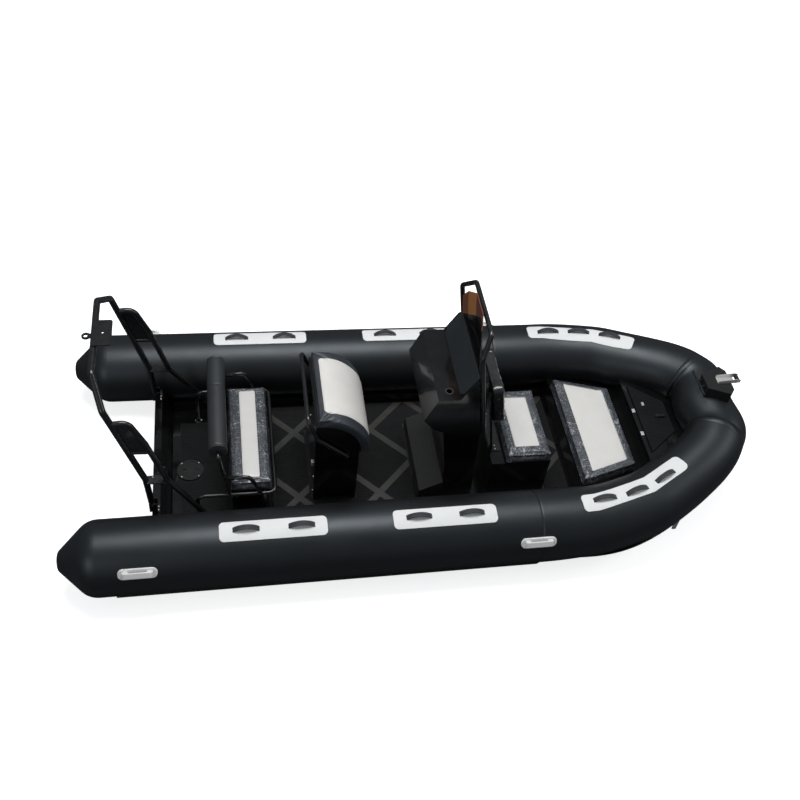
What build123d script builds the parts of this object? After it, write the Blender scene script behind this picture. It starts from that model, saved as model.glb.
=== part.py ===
from build123d import *
import math
import os

os.makedirs("parts", exist_ok=True)

# Rigid inflatable boat, afloat. Millimetres, +X to the bow, +Y to port, +Z up.
# The origin is on the centreline at the waterline, under the tips of the stern cones.

# Collar tubes
TUBE_R = 225.0
TUBE_Z = 250.0
CONE_END_X = 236.0
BOW_START_X = 2833.0
TUBE_Y_AFT = 759.3
TUBE_Y_FWD = 734.2
GLUE_GAP = 0.4

# Hull and deck
HULL_AFT_X = 586.0
HULL_TOP_Z = 51.0
SOLE_Z = 57.0
LEDGE_Z = 130.0
LEDGE_Y = 520.0
BOW_DECK_X = 3238.0
BOW_DECK_Z = 231.0
ANCHOR_DECK_X = 3702.0
ANCHOR_DECK_Z = 358.0
MAT_T = 4.0

# Transom
TRANSOM_TOP_X = 531.0
TRANSOM_TOP_Z = 273.0
TRANSOM_T = 46.0
TRANSOM_RAKE = 0.25

# Tubular frames
ARCH_R = 19.0
ARCH_Y = 447.0
RAIL_R = 12.5
HELM_RAIL_R = 13.0
SCREEN_RAIL_R = 15.0

# Helm seat
POD_Y = 285.0
POD_AFT_X = 1515.0
POD_ARC_X = 1548.0
POD_ARC_Z = 522.0
POD_ARC_R = 238.0
HELM_CUSHION_T = 60.0
HELM_CUSHION_Y = 300.0

# Console
CONSOLE_Y = 300.0
PEDESTAL_Y = 272.0

# Front seat
FRONT_Y = 285.0
FRONT_X0 = 2660.0
FRONT_X1 = 3050.0
FRONT_TOP_Z = 315.0

# Cushions
BOARD_T = 8.0

# Centreline of the port collar round the bow: place, heading in from straight ahead, radius
BOW_COLUMNS = ("x", "y", "heading", "z", "r")
BOW_ROWS = (
    (3202, 731, 3, 264, 216),
    (3554, 669, 20, 306, 207),
    (3774, 563, 29, 345, 201),
    (4012, 415, 37, 401, 195),
    (4100, 335, 48, 426, 193),
    (4150, 266, 61, 439, 192),
)
NOSE_ROWS = (
    (4184, 140, 84, 442, 191),
    (4170, 0, 90, 442, 191),
)

# Half sections of the hull: keel, chine and flange under the collar
HULL_COLUMNS = ("x", "keel_z", "chine_y", "chine_z", "flange_y", "flange_z")
HULL_ROWS = (
    (586, -215, 615, -5, 655, 22),
    (2700, -232, 610, -5, 652, 22),
    (3238, -215, 575, 20, 625, 48),
    (3554, -160, 490, 70, 550, 105),
    (3774, -85, 385, 122, 445, 155),
    (3960, 35, 240, 180, 305, 206),
    (4092, 195, 45, 222, 70, 227),
)

# Grip pads on the straight collar: where each starts and ends, and where its straps are
PAD_COLUMNS = ("x0", "x1", "strap_a", "strap_b")
PAD_ROWS = (
    (925, 1545, 1078, 1397),
    (1934, 2561, 2089, 2409),
)
PAD_IN = -0.131
PAD_OUT = 0.42
PAD_T = 3.0
STRAP_ANGLE = 0.12

# The bow pad slides inboard as it goes forward: its two edges at each bow station
BOW_PAD_ANGLES = (
    (-0.16, 0.38),
    (-0.22, 0.34),
    (-0.33, 0.24),
    (-0.41, 0.19),
    (-0.41, 0.19),
    (-0.41, 0.19),
    (-0.41, 0.19),
)
BOW_PAD_X0 = 3104
BOW_PAD_X1 = 3812
STRAP_COLUMNS = ("x", "y", "heading", "z", "r", "pitch")
BOW_STRAP_ROWS = (
    (3248, 729, 4, 268, 214.5, 4.5),
    (3461, 698, 14, 292, 209, 7),
    (3661, 622, 26, 323, 204, 9),
)
LIFT_HANDLE_X = (467, 2690)


def row(columns, values):
    return dict(zip(columns, values))


def box(x0, x1, y0, y1, z0, z1):
    block = Box(x1 - x0, y1 - y0, z1 - z0)
    return Pos((x0 + x1) / 2, (y0 + y1) / 2, (z0 + z1) / 2) * block


def side_prism(points, y0, y1):
    # a profile given as x, z pairs, drawn across from y0 to y1
    wire = Polyline([Vector(x, y1, z) for x, z in points], close=True)
    return extrude(make_face(wire), amount=y1 - y0, dir=(0, -1, 0))


def plan_prism(points, z0, z1):
    wire = Polyline([Vector(x, y, z0) for x, y in points], close=True)
    return extrude(make_face(wire), amount=z1 - z0, dir=(0, 0, 1))


def both_sides(points):
    # half a plan outline, listed aft to forward on the port side, closed across the centreline
    return list(points) + [(x, -y) for x, y in reversed(points)]


def bent_path(points, bend):
    # straight runs joined by arcs
    pts = [Vector(*p) for p in points]
    edges = []
    start = pts[0]
    for k in range(1, len(pts) - 1):
        back = (pts[k - 1] - pts[k]).normalized()
        ahead = (pts[k + 1] - pts[k]).normalized()
        angle = math.radians(back.get_angle(ahead))
        cut = bend / math.tan(angle / 2)
        a = pts[k] + back * cut
        c = pts[k] + ahead * cut
        mid_dir = (back + ahead).normalized()
        reach = bend / math.sin(angle / 2)
        b = pts[k] + mid_dir * (reach - bend)
        edges.append(Line(start, a))
        edges.append(ThreePointArc(a, b, c))
        start = c
    edges.append(Line(start, pts[-1]))
    return Wire(edges)


def pipe(points, r, bend):
    path = bent_path(points, bend)
    first = Vector(*points[0])
    ahead = Vector(*points[1]) - first
    return sweep(Plane(origin=first, z_dir=ahead) * Circle(r), path=path)


def rod(a, b, r):
    a = Vector(*a)
    b = Vector(*b)
    base = Plane(origin=a, z_dir=b - a) * Circle(r)
    return extrude(base, amount=(b - a).length)


def mirrored(shape):
    return mirror(shape, about=Plane.XZ)


def save(shape, name):
    export_step(shape, "parts/" + name + ".step")


def station_plane(s):
    # stands across the collar, its own x pointing outboard and its own y up
    h = math.radians(s["heading"])
    along = Vector(math.cos(h), -math.sin(h), 0)
    outboard = Vector(math.sin(h), math.cos(h), 0)
    return Plane(origin=(s["x"], s["y"], s["z"]), x_dir=outboard, z_dir=along)


def straight_station(x):
    slope = (TUBE_Y_FWD - TUBE_Y_AFT) / BOW_START_X
    heading = -math.degrees(math.atan(slope))
    return {"x": x, "y": TUBE_Y_AFT + slope * x, "heading": heading, "z": TUBE_Z, "r": TUBE_R}


def bow_stations():
    curved = [row(BOW_COLUMNS, values) for values in BOW_ROWS]
    return [straight_station(BOW_START_X)] + curved


def nose_stations():
    port = [bow_stations()[-1], row(BOW_COLUMNS, NOSE_ROWS[0])]
    middle = row(BOW_COLUMNS, NOSE_ROWS[1])
    far = [dict(s, y=-s["y"], heading=180 - s["heading"]) for s in reversed(port)]
    return port + [middle] + far


def ring_loft(stations, grow):
    return loft([station_plane(s) * Circle(s["r"] + grow) for s in stations])


def straight_tube(x0, x1, grow):
    a = straight_station(x0)
    b = straight_station(x1)
    return rod((a["x"], a["y"], a["z"]), (b["x"], b["y"], b["z"]), TUBE_R + grow)


def cone_end():
    # the stern cone, turned round the collar's own centreline
    profile = [
        Line((CONE_END_X, 0), (6, 0)),
        Line((6, 0), (6, 32)),
        ThreePointArc((6, 32), (10, 52), (24, 70)),
        Line((24, 70), (140, 186)),
        ThreePointArc((140, 186), (184, 215), (CONE_END_X, TUBE_R)),
        Line((CONE_END_X, TUBE_R), (CONE_END_X, 0)),
    ]
    cone = revolve(make_face(profile), axis=Axis.X)
    a = straight_station(CONE_END_X)
    place = Pos(a["x"], a["y"], a["z"]) * Rot(0, 0, -a["heading"]) * Pos(-CONE_END_X, 0, 0)
    return place * cone


def collar_cutter(grow):
    # every collar tube, a little grown, to trim what is bonded to it
    side = straight_tube(200, BOW_START_X, grow)
    bow = ring_loft(bow_stations(), grow)
    return [side, mirrored(side), bow, mirrored(bow), ring_loft(nose_stations(), grow)]


def band_face(s, a0, a1, t0, t1):
    # a strip lying on the collar, its angles from the top, outboard positive
    r0 = s["r"] + t0
    r1 = s["r"] + t1
    am = (a0 + a1) / 2

    def at(r, a):
        return (r * math.sin(a), r * math.cos(a))

    edges = [
        ThreePointArc(at(r0, a0), at(r0, am), at(r0, a1)),
        Line(at(r0, a1), at(r1, a1)),
        ThreePointArc(at(r1, a1), at(r1, am), at(r1, a0)),
        Line(at(r1, a0), at(r0, a0)),
    ]
    return station_plane(s) * make_face(edges)


def band(stations, a0, a1, t0, t1):
    return loft([band_face(s, a0, a1, t0, t1) for s in stations])


def trimmed(shape, tools):
    for tool in tools:
        shape = shape - tool
    return shape


CUTTER = collar_cutter(GLUE_GAP)
PORT_SKIN = [CUTTER[0], CUTTER[2]]
PORT_PAD = [straight_tube(200, BOW_START_X, PAD_T + 0.8), ring_loft(bow_stations(), PAD_T + 0.8)]


# Collar


def collar():
    side = cone_end() + straight_tube(CONE_END_X, BOW_START_X, 0)
    bow = ring_loft(bow_stations(), 0)
    save(side, "collar_side_port")
    save(mirrored(side), "collar_side_starboard")
    save(bow, "collar_bow_port")
    save(mirrored(bow), "collar_bow_starboard")
    save(ring_loft(nose_stations(), 0), "collar_nose")


def rub_strakes():
    high = math.radians(118)
    low = math.radians(146)
    run = [straight_station(x) for x in (330, BOW_START_X)]
    side = band(run, high, low, -4, 8.3)
    bow = band(bow_stations(), high, low, -4, 8.3) & box(BOW_START_X, 4030, 0, 1100, -100, 800)
    strake = trimmed(side + bow, PORT_SKIN)
    save(strake, "rub_strake_port")
    save(mirrored(strake), "rub_strake_starboard")


def strap_at(s, angle, pitch):
    # one webbing loop, standing on the pad along the collar
    edges = [
        ThreePointArc((-82, -8), (0, 34), (82, -8)),
        Line((82, -8), (70, -8)),
        ThreePointArc((70, -8), (0, 28), (-70, -8)),
        Line((-70, -8), (-82, -8)),
    ]
    loop = extrude(make_face(edges), amount=16, both=True)
    p = station_plane(s)
    up = p.x_dir * math.sin(angle) + p.y_dir * math.cos(angle)
    foot = p.origin + up * (s["r"] + PAD_T)
    across = p.z_dir.cross(up)
    turn = math.radians(pitch)
    ahead = p.z_dir * math.cos(turn) + up * math.sin(turn)
    strap = Plane(origin=foot, x_dir=ahead, z_dir=across) * loop
    strap = trimmed(strap, PORT_PAD)
    return strap.solids().sort_by(Axis.Z)[-1]


def grip_pads():
    pads = []
    straps = []
    for values in PAD_ROWS:
        p = row(PAD_COLUMNS, values)
        run = [straight_station(p["x0"]), straight_station(p["x1"])]
        pads.append(band(run, PAD_IN, PAD_OUT, GLUE_GAP, PAD_T + GLUE_GAP))
        straps.append(strap_at(straight_station(p["strap_a"]), STRAP_ANGLE, 0))
        straps.append(strap_at(straight_station(p["strap_b"]), STRAP_ANGLE, 0))
    faces = []
    for s, (a0, a1) in zip(bow_stations(), BOW_PAD_ANGLES):
        faces.append(band_face(s, a0, a1, -4, PAD_T + GLUE_GAP))
    bow = loft(faces) & box(BOW_PAD_X0, BOW_PAD_X1, 0, 1100, 200, 800)
    pads.append(trimmed(bow, PORT_SKIN))
    for values in BOW_STRAP_ROWS:
        s = row(STRAP_COLUMNS, values)
        straps.append(strap_at(s, 0.0, s["pitch"]))
    save(Compound(pads), "grip_pads_port")
    save(mirrored(Compound(pads)), "grip_pads_starboard")
    save(Compound(straps), "strap_handles_port")
    save(mirrored(Compound(straps)), "strap_handles_starboard")


def lifting_handle(x):
    s = straight_station(x)
    plate = extrude(RectangleRounded(265, 92, 40), amount=22)
    plate = plate - Pos(0, 0, 10) * extrude(RectangleRounded(215, 56, 24), amount=20)
    grip = Pos(0, 0, 25) * extrude(RectangleRounded(245, 20, 8), amount=10)
    for x_end in (-112, 112):
        grip = grip + Pos(x_end, 0, 20) * extrude(RectangleRounded(20, 20, 8), amount=10)
    handle = plate + grip
    p = station_plane(s)
    a = math.radians(60)
    out = p.x_dir * math.sin(a) + p.y_dir * math.cos(a)
    place = Plane(origin=p.origin + out * (TUBE_R - 6), x_dir=p.z_dir, z_dir=out)
    return trimmed(place * handle, PORT_SKIN)


def lifting_handles():
    pair = Compound([lifting_handle(x) for x in LIFT_HANDLE_X])
    save(pair, "lifting_handles_port")
    save(mirrored(pair), "lifting_handles_starboard")


# Hull


def hull_face(s, top_z):
    half = [
        (0, s["keel_z"]),
        (s["chine_y"], s["chine_z"]),
        (s["flange_y"], s["flange_z"]),
        (s["flange_y"] - 8, top_z),
    ]
    points = half + [(-y, z) for y, z in reversed(half[1:])]
    wire = Polyline([Vector(s["x"], y, z) for y, z in points], close=True)
    return make_face(wire)


def hull():
    rows = [row(HULL_COLUMNS, values) for values in HULL_ROWS]
    main = loft([hull_face(s, HULL_TOP_Z) for s in rows[:3]], ruled=True)
    bow = loft([hull_face(s, BOW_DECK_Z) for s in rows[2:]], ruled=True)
    body = main + bow
    low = HULL_TOP_Z + 260
    body = body - side_prism(
        [(500, HULL_TOP_Z), (HULL_AFT_X, HULL_TOP_Z), (HULL_AFT_X + low * TRANSOM_RAKE, -260), (500, -260)],
        -800,
        800,
    )
    body = body - plan_prism(both_sides([(3275, 400), (3590, 320)]), 95, BOW_DECK_Z + 5)
    body = trimmed(body, CUTTER)
    save(body, "hull")


def transom():
    drop = TRANSOM_TOP_Z - HULL_TOP_Z - 0.3
    foot_x = TRANSOM_TOP_X + drop * TRANSOM_RAKE
    foot_z = HULL_TOP_Z + 0.3
    board = side_prism(
        [
            (TRANSOM_TOP_X, TRANSOM_TOP_Z),
            (TRANSOM_TOP_X + TRANSOM_T, TRANSOM_TOP_Z),
            (foot_x + TRANSOM_T, foot_z),
            (foot_x, foot_z),
        ],
        -640,
        640,
    )
    save(trimmed(board, CUTTER), "transom")


def cockpit_liner():
    x0 = 640
    x1 = BOW_DECK_X - 0.5
    z0 = HULL_TOP_Z + 0.3
    floor = box(x0, x1, -600, 600, z0, SOLE_Z)
    port = box(x0, x1, LEDGE_Y, 600, z0, LEDGE_Z)
    liner = trimmed(floor + port + mirrored(port), CUTTER)
    save(liner, "cockpit_liner")


def sole_mats():
    z0 = SOLE_Z + 0.2
    z1 = z0 + MAT_T
    main = box(1275, 3220, -505, 505, z0, z1)
    main = main - box(1500, 1800, -300, 300, z0 - 1, z1 + 1)
    main = main - box(2180, 3060, -325, 325, z0 - 1, z1 + 1)
    aft = box(680, 990, -400, 400, z0, z1)
    aft = aft - Pos(744, 0, z0) * Cylinder(92, 20)
    save(Compound([main, aft]), "sole_mats")


def inspection_hatch():
    z = SOLE_Z + 0.2
    ring = Pos(744, 0, z + 4) * Cylinder(85, 8)
    groove = Pos(744, 0, z + 8) * (Cylinder(68, 3) - Cylinder(65, 3))
    plate = ring - groove
    for side in (-1, 1):
        plate = plate - Pos(744 + side * 36, 0, z + 8) * Box(26, 12, 7)
    save(plate, "inspection_hatch")


# Arch over the transom


def arch():
    aft = pipe([(536, ARCH_Y, 300), (519, ARCH_Y, 562), (362.8, ARCH_Y, 1120)], ARCH_R, 90)
    fwd = pipe(
        [(385, ARCH_Y, 1062), (470, ARCH_Y, 1070), (546, ARCH_Y, 885), (640, ARCH_Y, 553), (945, 490, 68)],
        ARCH_R - 2,
        60,
    )
    low_rung = box(525, 636, ARCH_Y - 30, ARCH_Y + 30, 553, 559)
    for x in (560, 600):
        low_rung = low_rung - Pos(x, ARCH_Y - 22, 556) * Cylinder(5, 20)
    rung = rod((447, ARCH_Y, 813), (566, ARCH_Y, 811), 11)
    frame = aft + fwd + low_rung + rung + Pos(947, 490, SOLE_Z + 3) * Cylinder(27, 5)
    save(frame, "arch_side_port")
    save(mirrored(frame), "arch_side_starboard")

    gusset = side_prism([(376, 1072), (468, 1072), (552, 880), (566, 812), (442, 814)], ARCH_Y - 3, ARCH_Y + 3)
    gusset = gusset - frame
    gusset = gusset.solids().sort_by(SortBy.VOLUME)[-1]
    save(gusset, "arch_gusset_port")
    save(mirrored(gusset), "arch_gusset_starboard")

    top = pipe(
        [
            (362.7, ARCH_Y, 1120.4),
            (350, ARCH_Y, 1165),
            (300, 285, 1297),
            (300, -285, 1297),
            (350, -ARCH_Y, 1165),
            (362.7, -ARCH_Y, 1120.4),
        ],
        ARCH_R,
        28,
    )
    save(top, "arch_top_bar")

    plate = plan_prism([(290, -100), (398, -100), (398, 100), (290, 100)], 1316.3, 1321.3)
    plate = fillet(plate.edges().filter_by(Axis.Z), 14)
    plate = plate - Pos(348, 0, 1320) * Cylinder(6.5, 20)
    save(plate, "arch_light_plate")

    eye = Pos(256, 0, 1297) * Cylinder(24, 9) + box(256, 283, -16, 16, 1292.5, 1301.5)
    eye = eye - Pos(254, 0, 1297) * Cylinder(12, 20) - rod((300, -60, 1297), (300, 60, 1297), ARCH_R + 0.2)
    save(eye, "arch_tow_eye")

    feet = []
    for side in (-1, 1):
        y = side * ARCH_Y
        fork = box(533, 575, y - 30, y + 30, TRANSOM_TOP_Z + 0.3, TRANSOM_TOP_Z + 6)
        fork = fork + box(518, 566, y + 19.8, y + 25, TRANSOM_TOP_Z + 5, 352)
        fork = fork + box(518, 566, y - 25, y - 19.8, TRANSOM_TOP_Z + 5, 352)
        fork = fork + rod((538, y + 24, 335), (538, y + 34, 335), 9)
        fork = fork + rod((538, y - 34, 335), (538, y - 24, 335), 9)
        feet.append(fork)
    save(Compound(feet), "arch_feet")


# Stern bench


def bench():
    parts = []
    for side in (-1, 1):
        y = side * 425
        foot = SOLE_Z + 0.3
        parts.append(pipe([(800, y, foot), (800, y, 340), (1215, y, 340), (1215, y, foot)], RAIL_R, 45))
        parts.append(pipe([(1020, y, 340), (1020, y, 508), (1125, y, 500), (1180, y, 340)], RAIL_R, 40))
        parts.append(pipe([(995, y, 340), (937, side * 412, 685), (937, side * 370.4, 685)], RAIL_R - 1.5, 16))
        parts.append(Pos(800, y, foot + 2) * Cylinder(24, 4))
        parts.append(Pos(1215, y, foot + 2) * Cylinder(24, 4))
    parts.append(rod((1030, -425, 316), (1030, 425, 316), RAIL_R))
    parts.append(rod((1205, -425, 316), (1205, 425, 316), RAIL_R))
    frame = parts[0]
    for piece in parts[1:]:
        frame = frame + piece
    save(frame, "bench_frame")

    save(box(1002, 1250, -396, 396, 329, 339), "bench_board")
    save(box(1050, 1185, -350, 350, SOLE_Z + 0.2, 328.5), "bench_locker")
    cushion = box(1000, 1252, -400, 400, 339.4, 408)
    cushion = fillet(cushion.edges().filter_by(Axis.Z), 25)
    save(cushion, "bench_cushion")
    bolster = rod((937, -370, 685), (937, 370, 685), 60)
    save(bolster, "bench_bolster")


# Helm seat


def seat_profile(depth, z_end):
    # the seat's top line at a given height over the pod, as edges from aft to forward
    r = POD_ARC_R + depth
    a = math.radians(45)
    mid = (POD_ARC_X + r * math.sin(a), POD_ARC_Z + r * math.cos(a))
    top = (POD_ARC_X, POD_ARC_Z + r)
    end = (POD_ARC_X + r, POD_ARC_Z)
    return top, mid, end, z_end


def seat_shell(x_aft, d0, d1, half):
    # a layer of the seat between two heights over the pod
    t0, m0, e0, z = seat_profile(d0, 0)
    t1, m1, e1, z = seat_profile(d1, 0)

    def v(p):
        return Vector(p[0], half, p[1])

    edges = [
        Line(v((x_aft, t0[1])), v(t0)),
        ThreePointArc(v(t0), v(m0), v(e0)),
        Line(v(e0), v(e1)),
        ThreePointArc(v(e1), v(m1), v(t1)),
        Line(v(t1), v((x_aft, t1[1]))),
        Line(v((x_aft, t1[1])), v((x_aft, t0[1]))),
    ]
    return extrude(make_face(edges), amount=2 * half, dir=(0, -1, 0))


def helm_seat():
    t, m, e, z = seat_profile(0, 0)

    def pod_block(inset, base):
        r = POD_ARC_R - inset
        a = math.radians(45)
        top = (POD_ARC_X, POD_ARC_Z + r)
        mid = (POD_ARC_X + r * math.sin(a), POD_ARC_Z + r * math.cos(a))
        end = (POD_ARC_X + r, POD_ARC_Z)
        x0 = POD_AFT_X + inset
        half = POD_Y - inset

        def v(p):
            return Vector(p[0], half, p[1])

        edges = [
            Line(v((x0, base)), v((x0, top[1]))),
            Line(v((x0, top[1])), v(top)),
            ThreePointArc(v(top), v(mid), v(end)),
            Line(v(end), v((end[0], base))),
            Line(v((end[0], base)), v((x0, base))),
        ]
        return extrude(make_face(edges), amount=2 * half, dir=(0, -1, 0))

    base = SOLE_Z + 0.2
    pod = pod_block(0, base)
    pocket = box(POD_AFT_X + 14, POD_ARC_X + POD_ARC_R - 14, -POD_Y + 14, POD_Y - 14, 420, 800)
    pod = pod - pocket
    save(pod, "helm_seat_pod")
    save(seat_shell(POD_AFT_X + 4, 0.6, BOARD_T, POD_Y + 6), "helm_seat_lid")
    cushion = seat_shell(POD_AFT_X + 10, BOARD_T + 0.4, BOARD_T + HELM_CUSHION_T, HELM_CUSHION_Y)
    save(cushion, "helm_seat_cushion")
    points = []
    for side in (1, -1):
        run = [(1712, 303, 495), (1527, 303, 668), (1466, 292, 820)]
        if side < 0:
            run = [(x, -y, z) for x, y, z in reversed(run)]
        points = points + run
    rail = pipe(points, HELM_RAIL_R, 45)
    for side in (-1, 1):
        rail = rail + rod((1712, side * 285.3, 495), (1712, side * 303, 495), 20)
        rail = rail + rod((1540, side * 285.3, 655), (1540, side * 303, 655), 20)
    save(rail, "helm_seat_rail")


# Console


def console():
    head = side_prism(
        [
            (2156, 793),
            (2226, 966),
            (2357, 966),
            (2457, 1146),
            (2503, 1140),
            (2548, 660),
            (2510, 640),
            (2444, 604),
            (2232, 704),
        ],
        -CONSOLE_Y,
        CONSOLE_Y,
    )
    for side in (-1, 1):
        wedge = Polyline(
            [Vector(2400, side * 262, 1160), Vector(2400, side * 310, 1160), Vector(2400, side * 310, 1095)],
            close=True,
        )
        head = head - extrude(make_face(wedge), amount=200, dir=(1, 0, 0))
    pedestal = side_prism(
        [(2350, SOLE_Z + 0.2), (2350, 300), (2290, 700), (2530, 700), (2562, SOLE_Z + 0.2)],
        -PEDESTAL_Y,
        PEDESTAL_Y,
    )
    body = head + pedestal
    body = body - Pos(2302, -225, 940) * Cylinder(16, 120)
    save(body, "console_body")

    run = Vector(100, 0, 180).normalized()
    out = Vector(-180, 0, 100).normalized()
    place = Plane(origin=Vector(2407, 0, 1056) + out * 0.3, x_dir=(0, 1, 0), z_dir=out)
    panel = extrude(place * RectangleRounded(500, 170, 20), amount=3)
    save(panel, "console_instrument_panel")

    step = side_prism(
        [(2195, SOLE_Z + 0.2), (2201, 111), (2343, 186), (2349.5, 186), (2349.5, SOLE_Z + 0.2)],
        -310,
        310,
    )
    save(step, "console_footrest")

    half = [(2466, 240), (2488, 130)]
    strip = both_sides(half)
    strip = strip + [(x + 5, y) for x, y in reversed(strip)]
    sheet = Pos(0, 0, 0) * plan_prism(strip, 1080, 1520)
    sheet = Pos(2477, 0, 1150) * Rot(0, -5.5, 0) * Pos(-2477, 0, -1150) * sheet
    half = [(238, 1147), (238, 1308), (150, 1420), (80, 1455)]
    points = half + [(-y, z) for y, z in reversed(half)]
    wire = Polyline([Vector(2400, y, z) for y, z in points], close=True)
    screen = sheet & extrude(make_face(wire), amount=120, dir=(1, 0, 0))
    save(screen, "console_windscreen")

    points = []
    for side in (1, -1):
        run = [(2540, 316, 670), (2432, 316, 1321), (2486, 222, 1424)]
        if side < 0:
            run = [(x, -y, z) for x, y, z in reversed(run)]
        points = points + run
    rail = pipe(points, SCREEN_RAIL_R, 35)
    for side in (-1, 1):
        rail = rail + rod((2532, side * 300.3, 720), (2532, side * 316, 720), 18)
        rail = rail + rod((2474, side * 300.3, 1070), (2474, side * 316, 1070), 18)
    save(rail, "console_rail")


# Front seat


def front_seat():
    z0 = SOLE_Z + 0.2
    base = box(FRONT_X0, FRONT_X1, -FRONT_Y, FRONT_Y, z0, FRONT_TOP_Z)
    base = base - box(FRONT_X0 + 95, FRONT_X1 - 12, -FRONT_Y + 12, FRONT_Y - 12, z0 + 12, 400)
    save(base, "front_seat_base")
    save(box(2752, 3052, -FRONT_Y, FRONT_Y, FRONT_TOP_Z + 0.5, FRONT_TOP_Z + BOARD_T), "front_seat_lid")
    cushion = box(2752, 3054, -290, 290, FRONT_TOP_Z + BOARD_T + 0.4, 387)
    cushion = fillet(cushion.edges().filter_by(Axis.Z), 22)
    save(cushion, "front_seat_cushion")

    lean = 10
    pad = Box(75, 400, 330)
    pad = fillet(pad.edges().filter_by(Axis.X), 40)
    save(Pos(2648, 0, 760) * Rot(0, -lean, 0) * pad, "front_backrest_pad")
    bars = []
    for y in (-150, 150):
        bar = Box(8, 44, 520)
        bars.append(Pos(2635, y, 576) * Rot(0, -lean, 0) * bar)
    posts = bars[0] + bars[1] + box(2666, 2740, -180, 180, FRONT_TOP_Z + 0.3, FRONT_TOP_Z + 6)
    save(posts, "front_backrest_bracket")


# Bow


def bow_deck():
    outline = both_sides([(ANCHOR_DECK_X, 520), (3850, 450), (4000, 330), (4110, 180), (4150, 60)])
    deck = plan_prism(outline, BOW_DECK_Z + 0.3, ANCHOR_DECK_Z)
    deck = deck - plan_prism(both_sides([(3755, 255), (3925, 115)]), BOW_DECK_Z + 14, ANCHOR_DECK_Z + 5)
    deck = trimmed(deck, CUTTER)
    save(deck, "anchor_deck")
    hatch = plan_prism(both_sides([(3735, 292), (3942, 132)]), ANCHOR_DECK_Z + 0.4, ANCHOR_DECK_Z + 12)
    save(hatch, "anchor_hatch")
    save(plan_prism(both_sides([(3250, 452), (3633, 338)]), BOW_DECK_Z + 0.5, BOW_DECK_Z + BOARD_T), "bow_locker_lid")
    cushion = plan_prism(both_sides([(3238, 460), (3633, 343)]), BOW_DECK_Z + BOARD_T + 0.4, 311)
    cushion = fillet(cushion.edges().filter_by(Axis.Z), 25)
    save(cushion, "bow_cushion")


def bow_fittings():
    block = plan_prism(both_sides([(4094, 62), (4235, 125), (4268, 85)]), 540, 708)
    save(trimmed(block, CUTTER), "bow_step")
    bar = rod((4056, -110, 690), (4056, 110, 690), 8)
    for y in (-28, 28):
        bar = bar + rod((4056, y, 690), (4093.6, y, 690), 6)
    save(bar, "mooring_bar")
    channel = box(4175, 4300, -29, 29, 708.4, 711.4)
    for y in (-29, 26):
        channel = channel + side_prism([(4175, 709), (4175, 730), (4300, 742), (4326, 735), (4326, 712), (4300, 709)], y, y + 3)
    channel = channel + rod((4310, -33, 723), (4310, 33, 723), 5)
    roller = rod((4310, -23, 723), (4310, 23, 723), 14) - rod((4310, -30, 723), (4310, 30, 723), 5.6)
    channel = channel - box(4290, 4302, -24, 24, 700, 715)
    save(channel, "roller_bracket")
    save(roller, "bow_roller")
    eyes = []
    for side in (-1, 1):
        strap = box(3824, 3850, side * 700 - 4, side * 700 + 4, 60, 215)
        strap = strap - rod((3837, side * 700 - 20, 80), (3837, side * 700 + 20, 80), 8)
        eyes.append(strap)
    skin = ring_loft(bow_stations(), 8.9)
    tabs = Compound([trimmed(eye, [skin, mirrored(skin)]) for eye in eyes])
    save(tabs, "hull_eyes")


collar()
rub_strakes()
grip_pads()
lifting_handles()
hull()
transom()
cockpit_liner()
sole_mats()
inspection_hatch()
arch()
bench()
helm_seat()
console()
front_seat()
bow_deck()
bow_fittings()
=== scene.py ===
import math

import bmesh
import bpy
from bpy.props import FloatProperty, FloatVectorProperty, IntProperty, PointerProperty
from mathutils import Matrix, Vector
from mathutils.bvhtree import BVHTree


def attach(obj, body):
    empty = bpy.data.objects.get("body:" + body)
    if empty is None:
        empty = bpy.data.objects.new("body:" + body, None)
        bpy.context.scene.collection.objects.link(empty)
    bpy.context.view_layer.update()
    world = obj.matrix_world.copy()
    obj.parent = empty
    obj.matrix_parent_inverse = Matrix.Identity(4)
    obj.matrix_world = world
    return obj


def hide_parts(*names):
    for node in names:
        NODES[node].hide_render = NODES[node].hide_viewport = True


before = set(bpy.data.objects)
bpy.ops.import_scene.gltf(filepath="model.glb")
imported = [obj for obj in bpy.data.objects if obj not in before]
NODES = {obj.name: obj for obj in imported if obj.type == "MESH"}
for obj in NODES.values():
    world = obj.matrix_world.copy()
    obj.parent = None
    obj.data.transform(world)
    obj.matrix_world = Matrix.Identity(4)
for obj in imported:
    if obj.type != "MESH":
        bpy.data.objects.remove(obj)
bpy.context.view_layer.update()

bl_info = {
    "name": "Rigid inflatable boat",
    "version": (1, 0, 0),
    "blender": (4, 5, 0),
    "location": "View3D > Sidebar > Boat",
    "description": "Dresses the solid frame of an open rigid inflatable boat",
    "category": "Object",
}

# Where the port collar runs, in metres and degrees: x, y, heading in from straight ahead, height, radius
COLLAR_STATIONS = (
    (0.236, 0.7572, 0.5, 0.250, 0.225),
    (2.833, 0.7342, 0.5, 0.250, 0.225),
    (3.202, 0.731, 3, 0.264, 0.216),
    (3.554, 0.669, 20, 0.306, 0.207),
    (3.774, 0.563, 29, 0.345, 0.201),
    (4.012, 0.415, 37, 0.401, 0.195),
    (4.100, 0.335, 48, 0.426, 0.193),
    (4.150, 0.266, 61, 0.439, 0.192),
    (4.184, 0.140, 84, 0.442, 0.191),
    (4.170, 0.000, 90, 0.442, 0.191),
)


# Small tools


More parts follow.
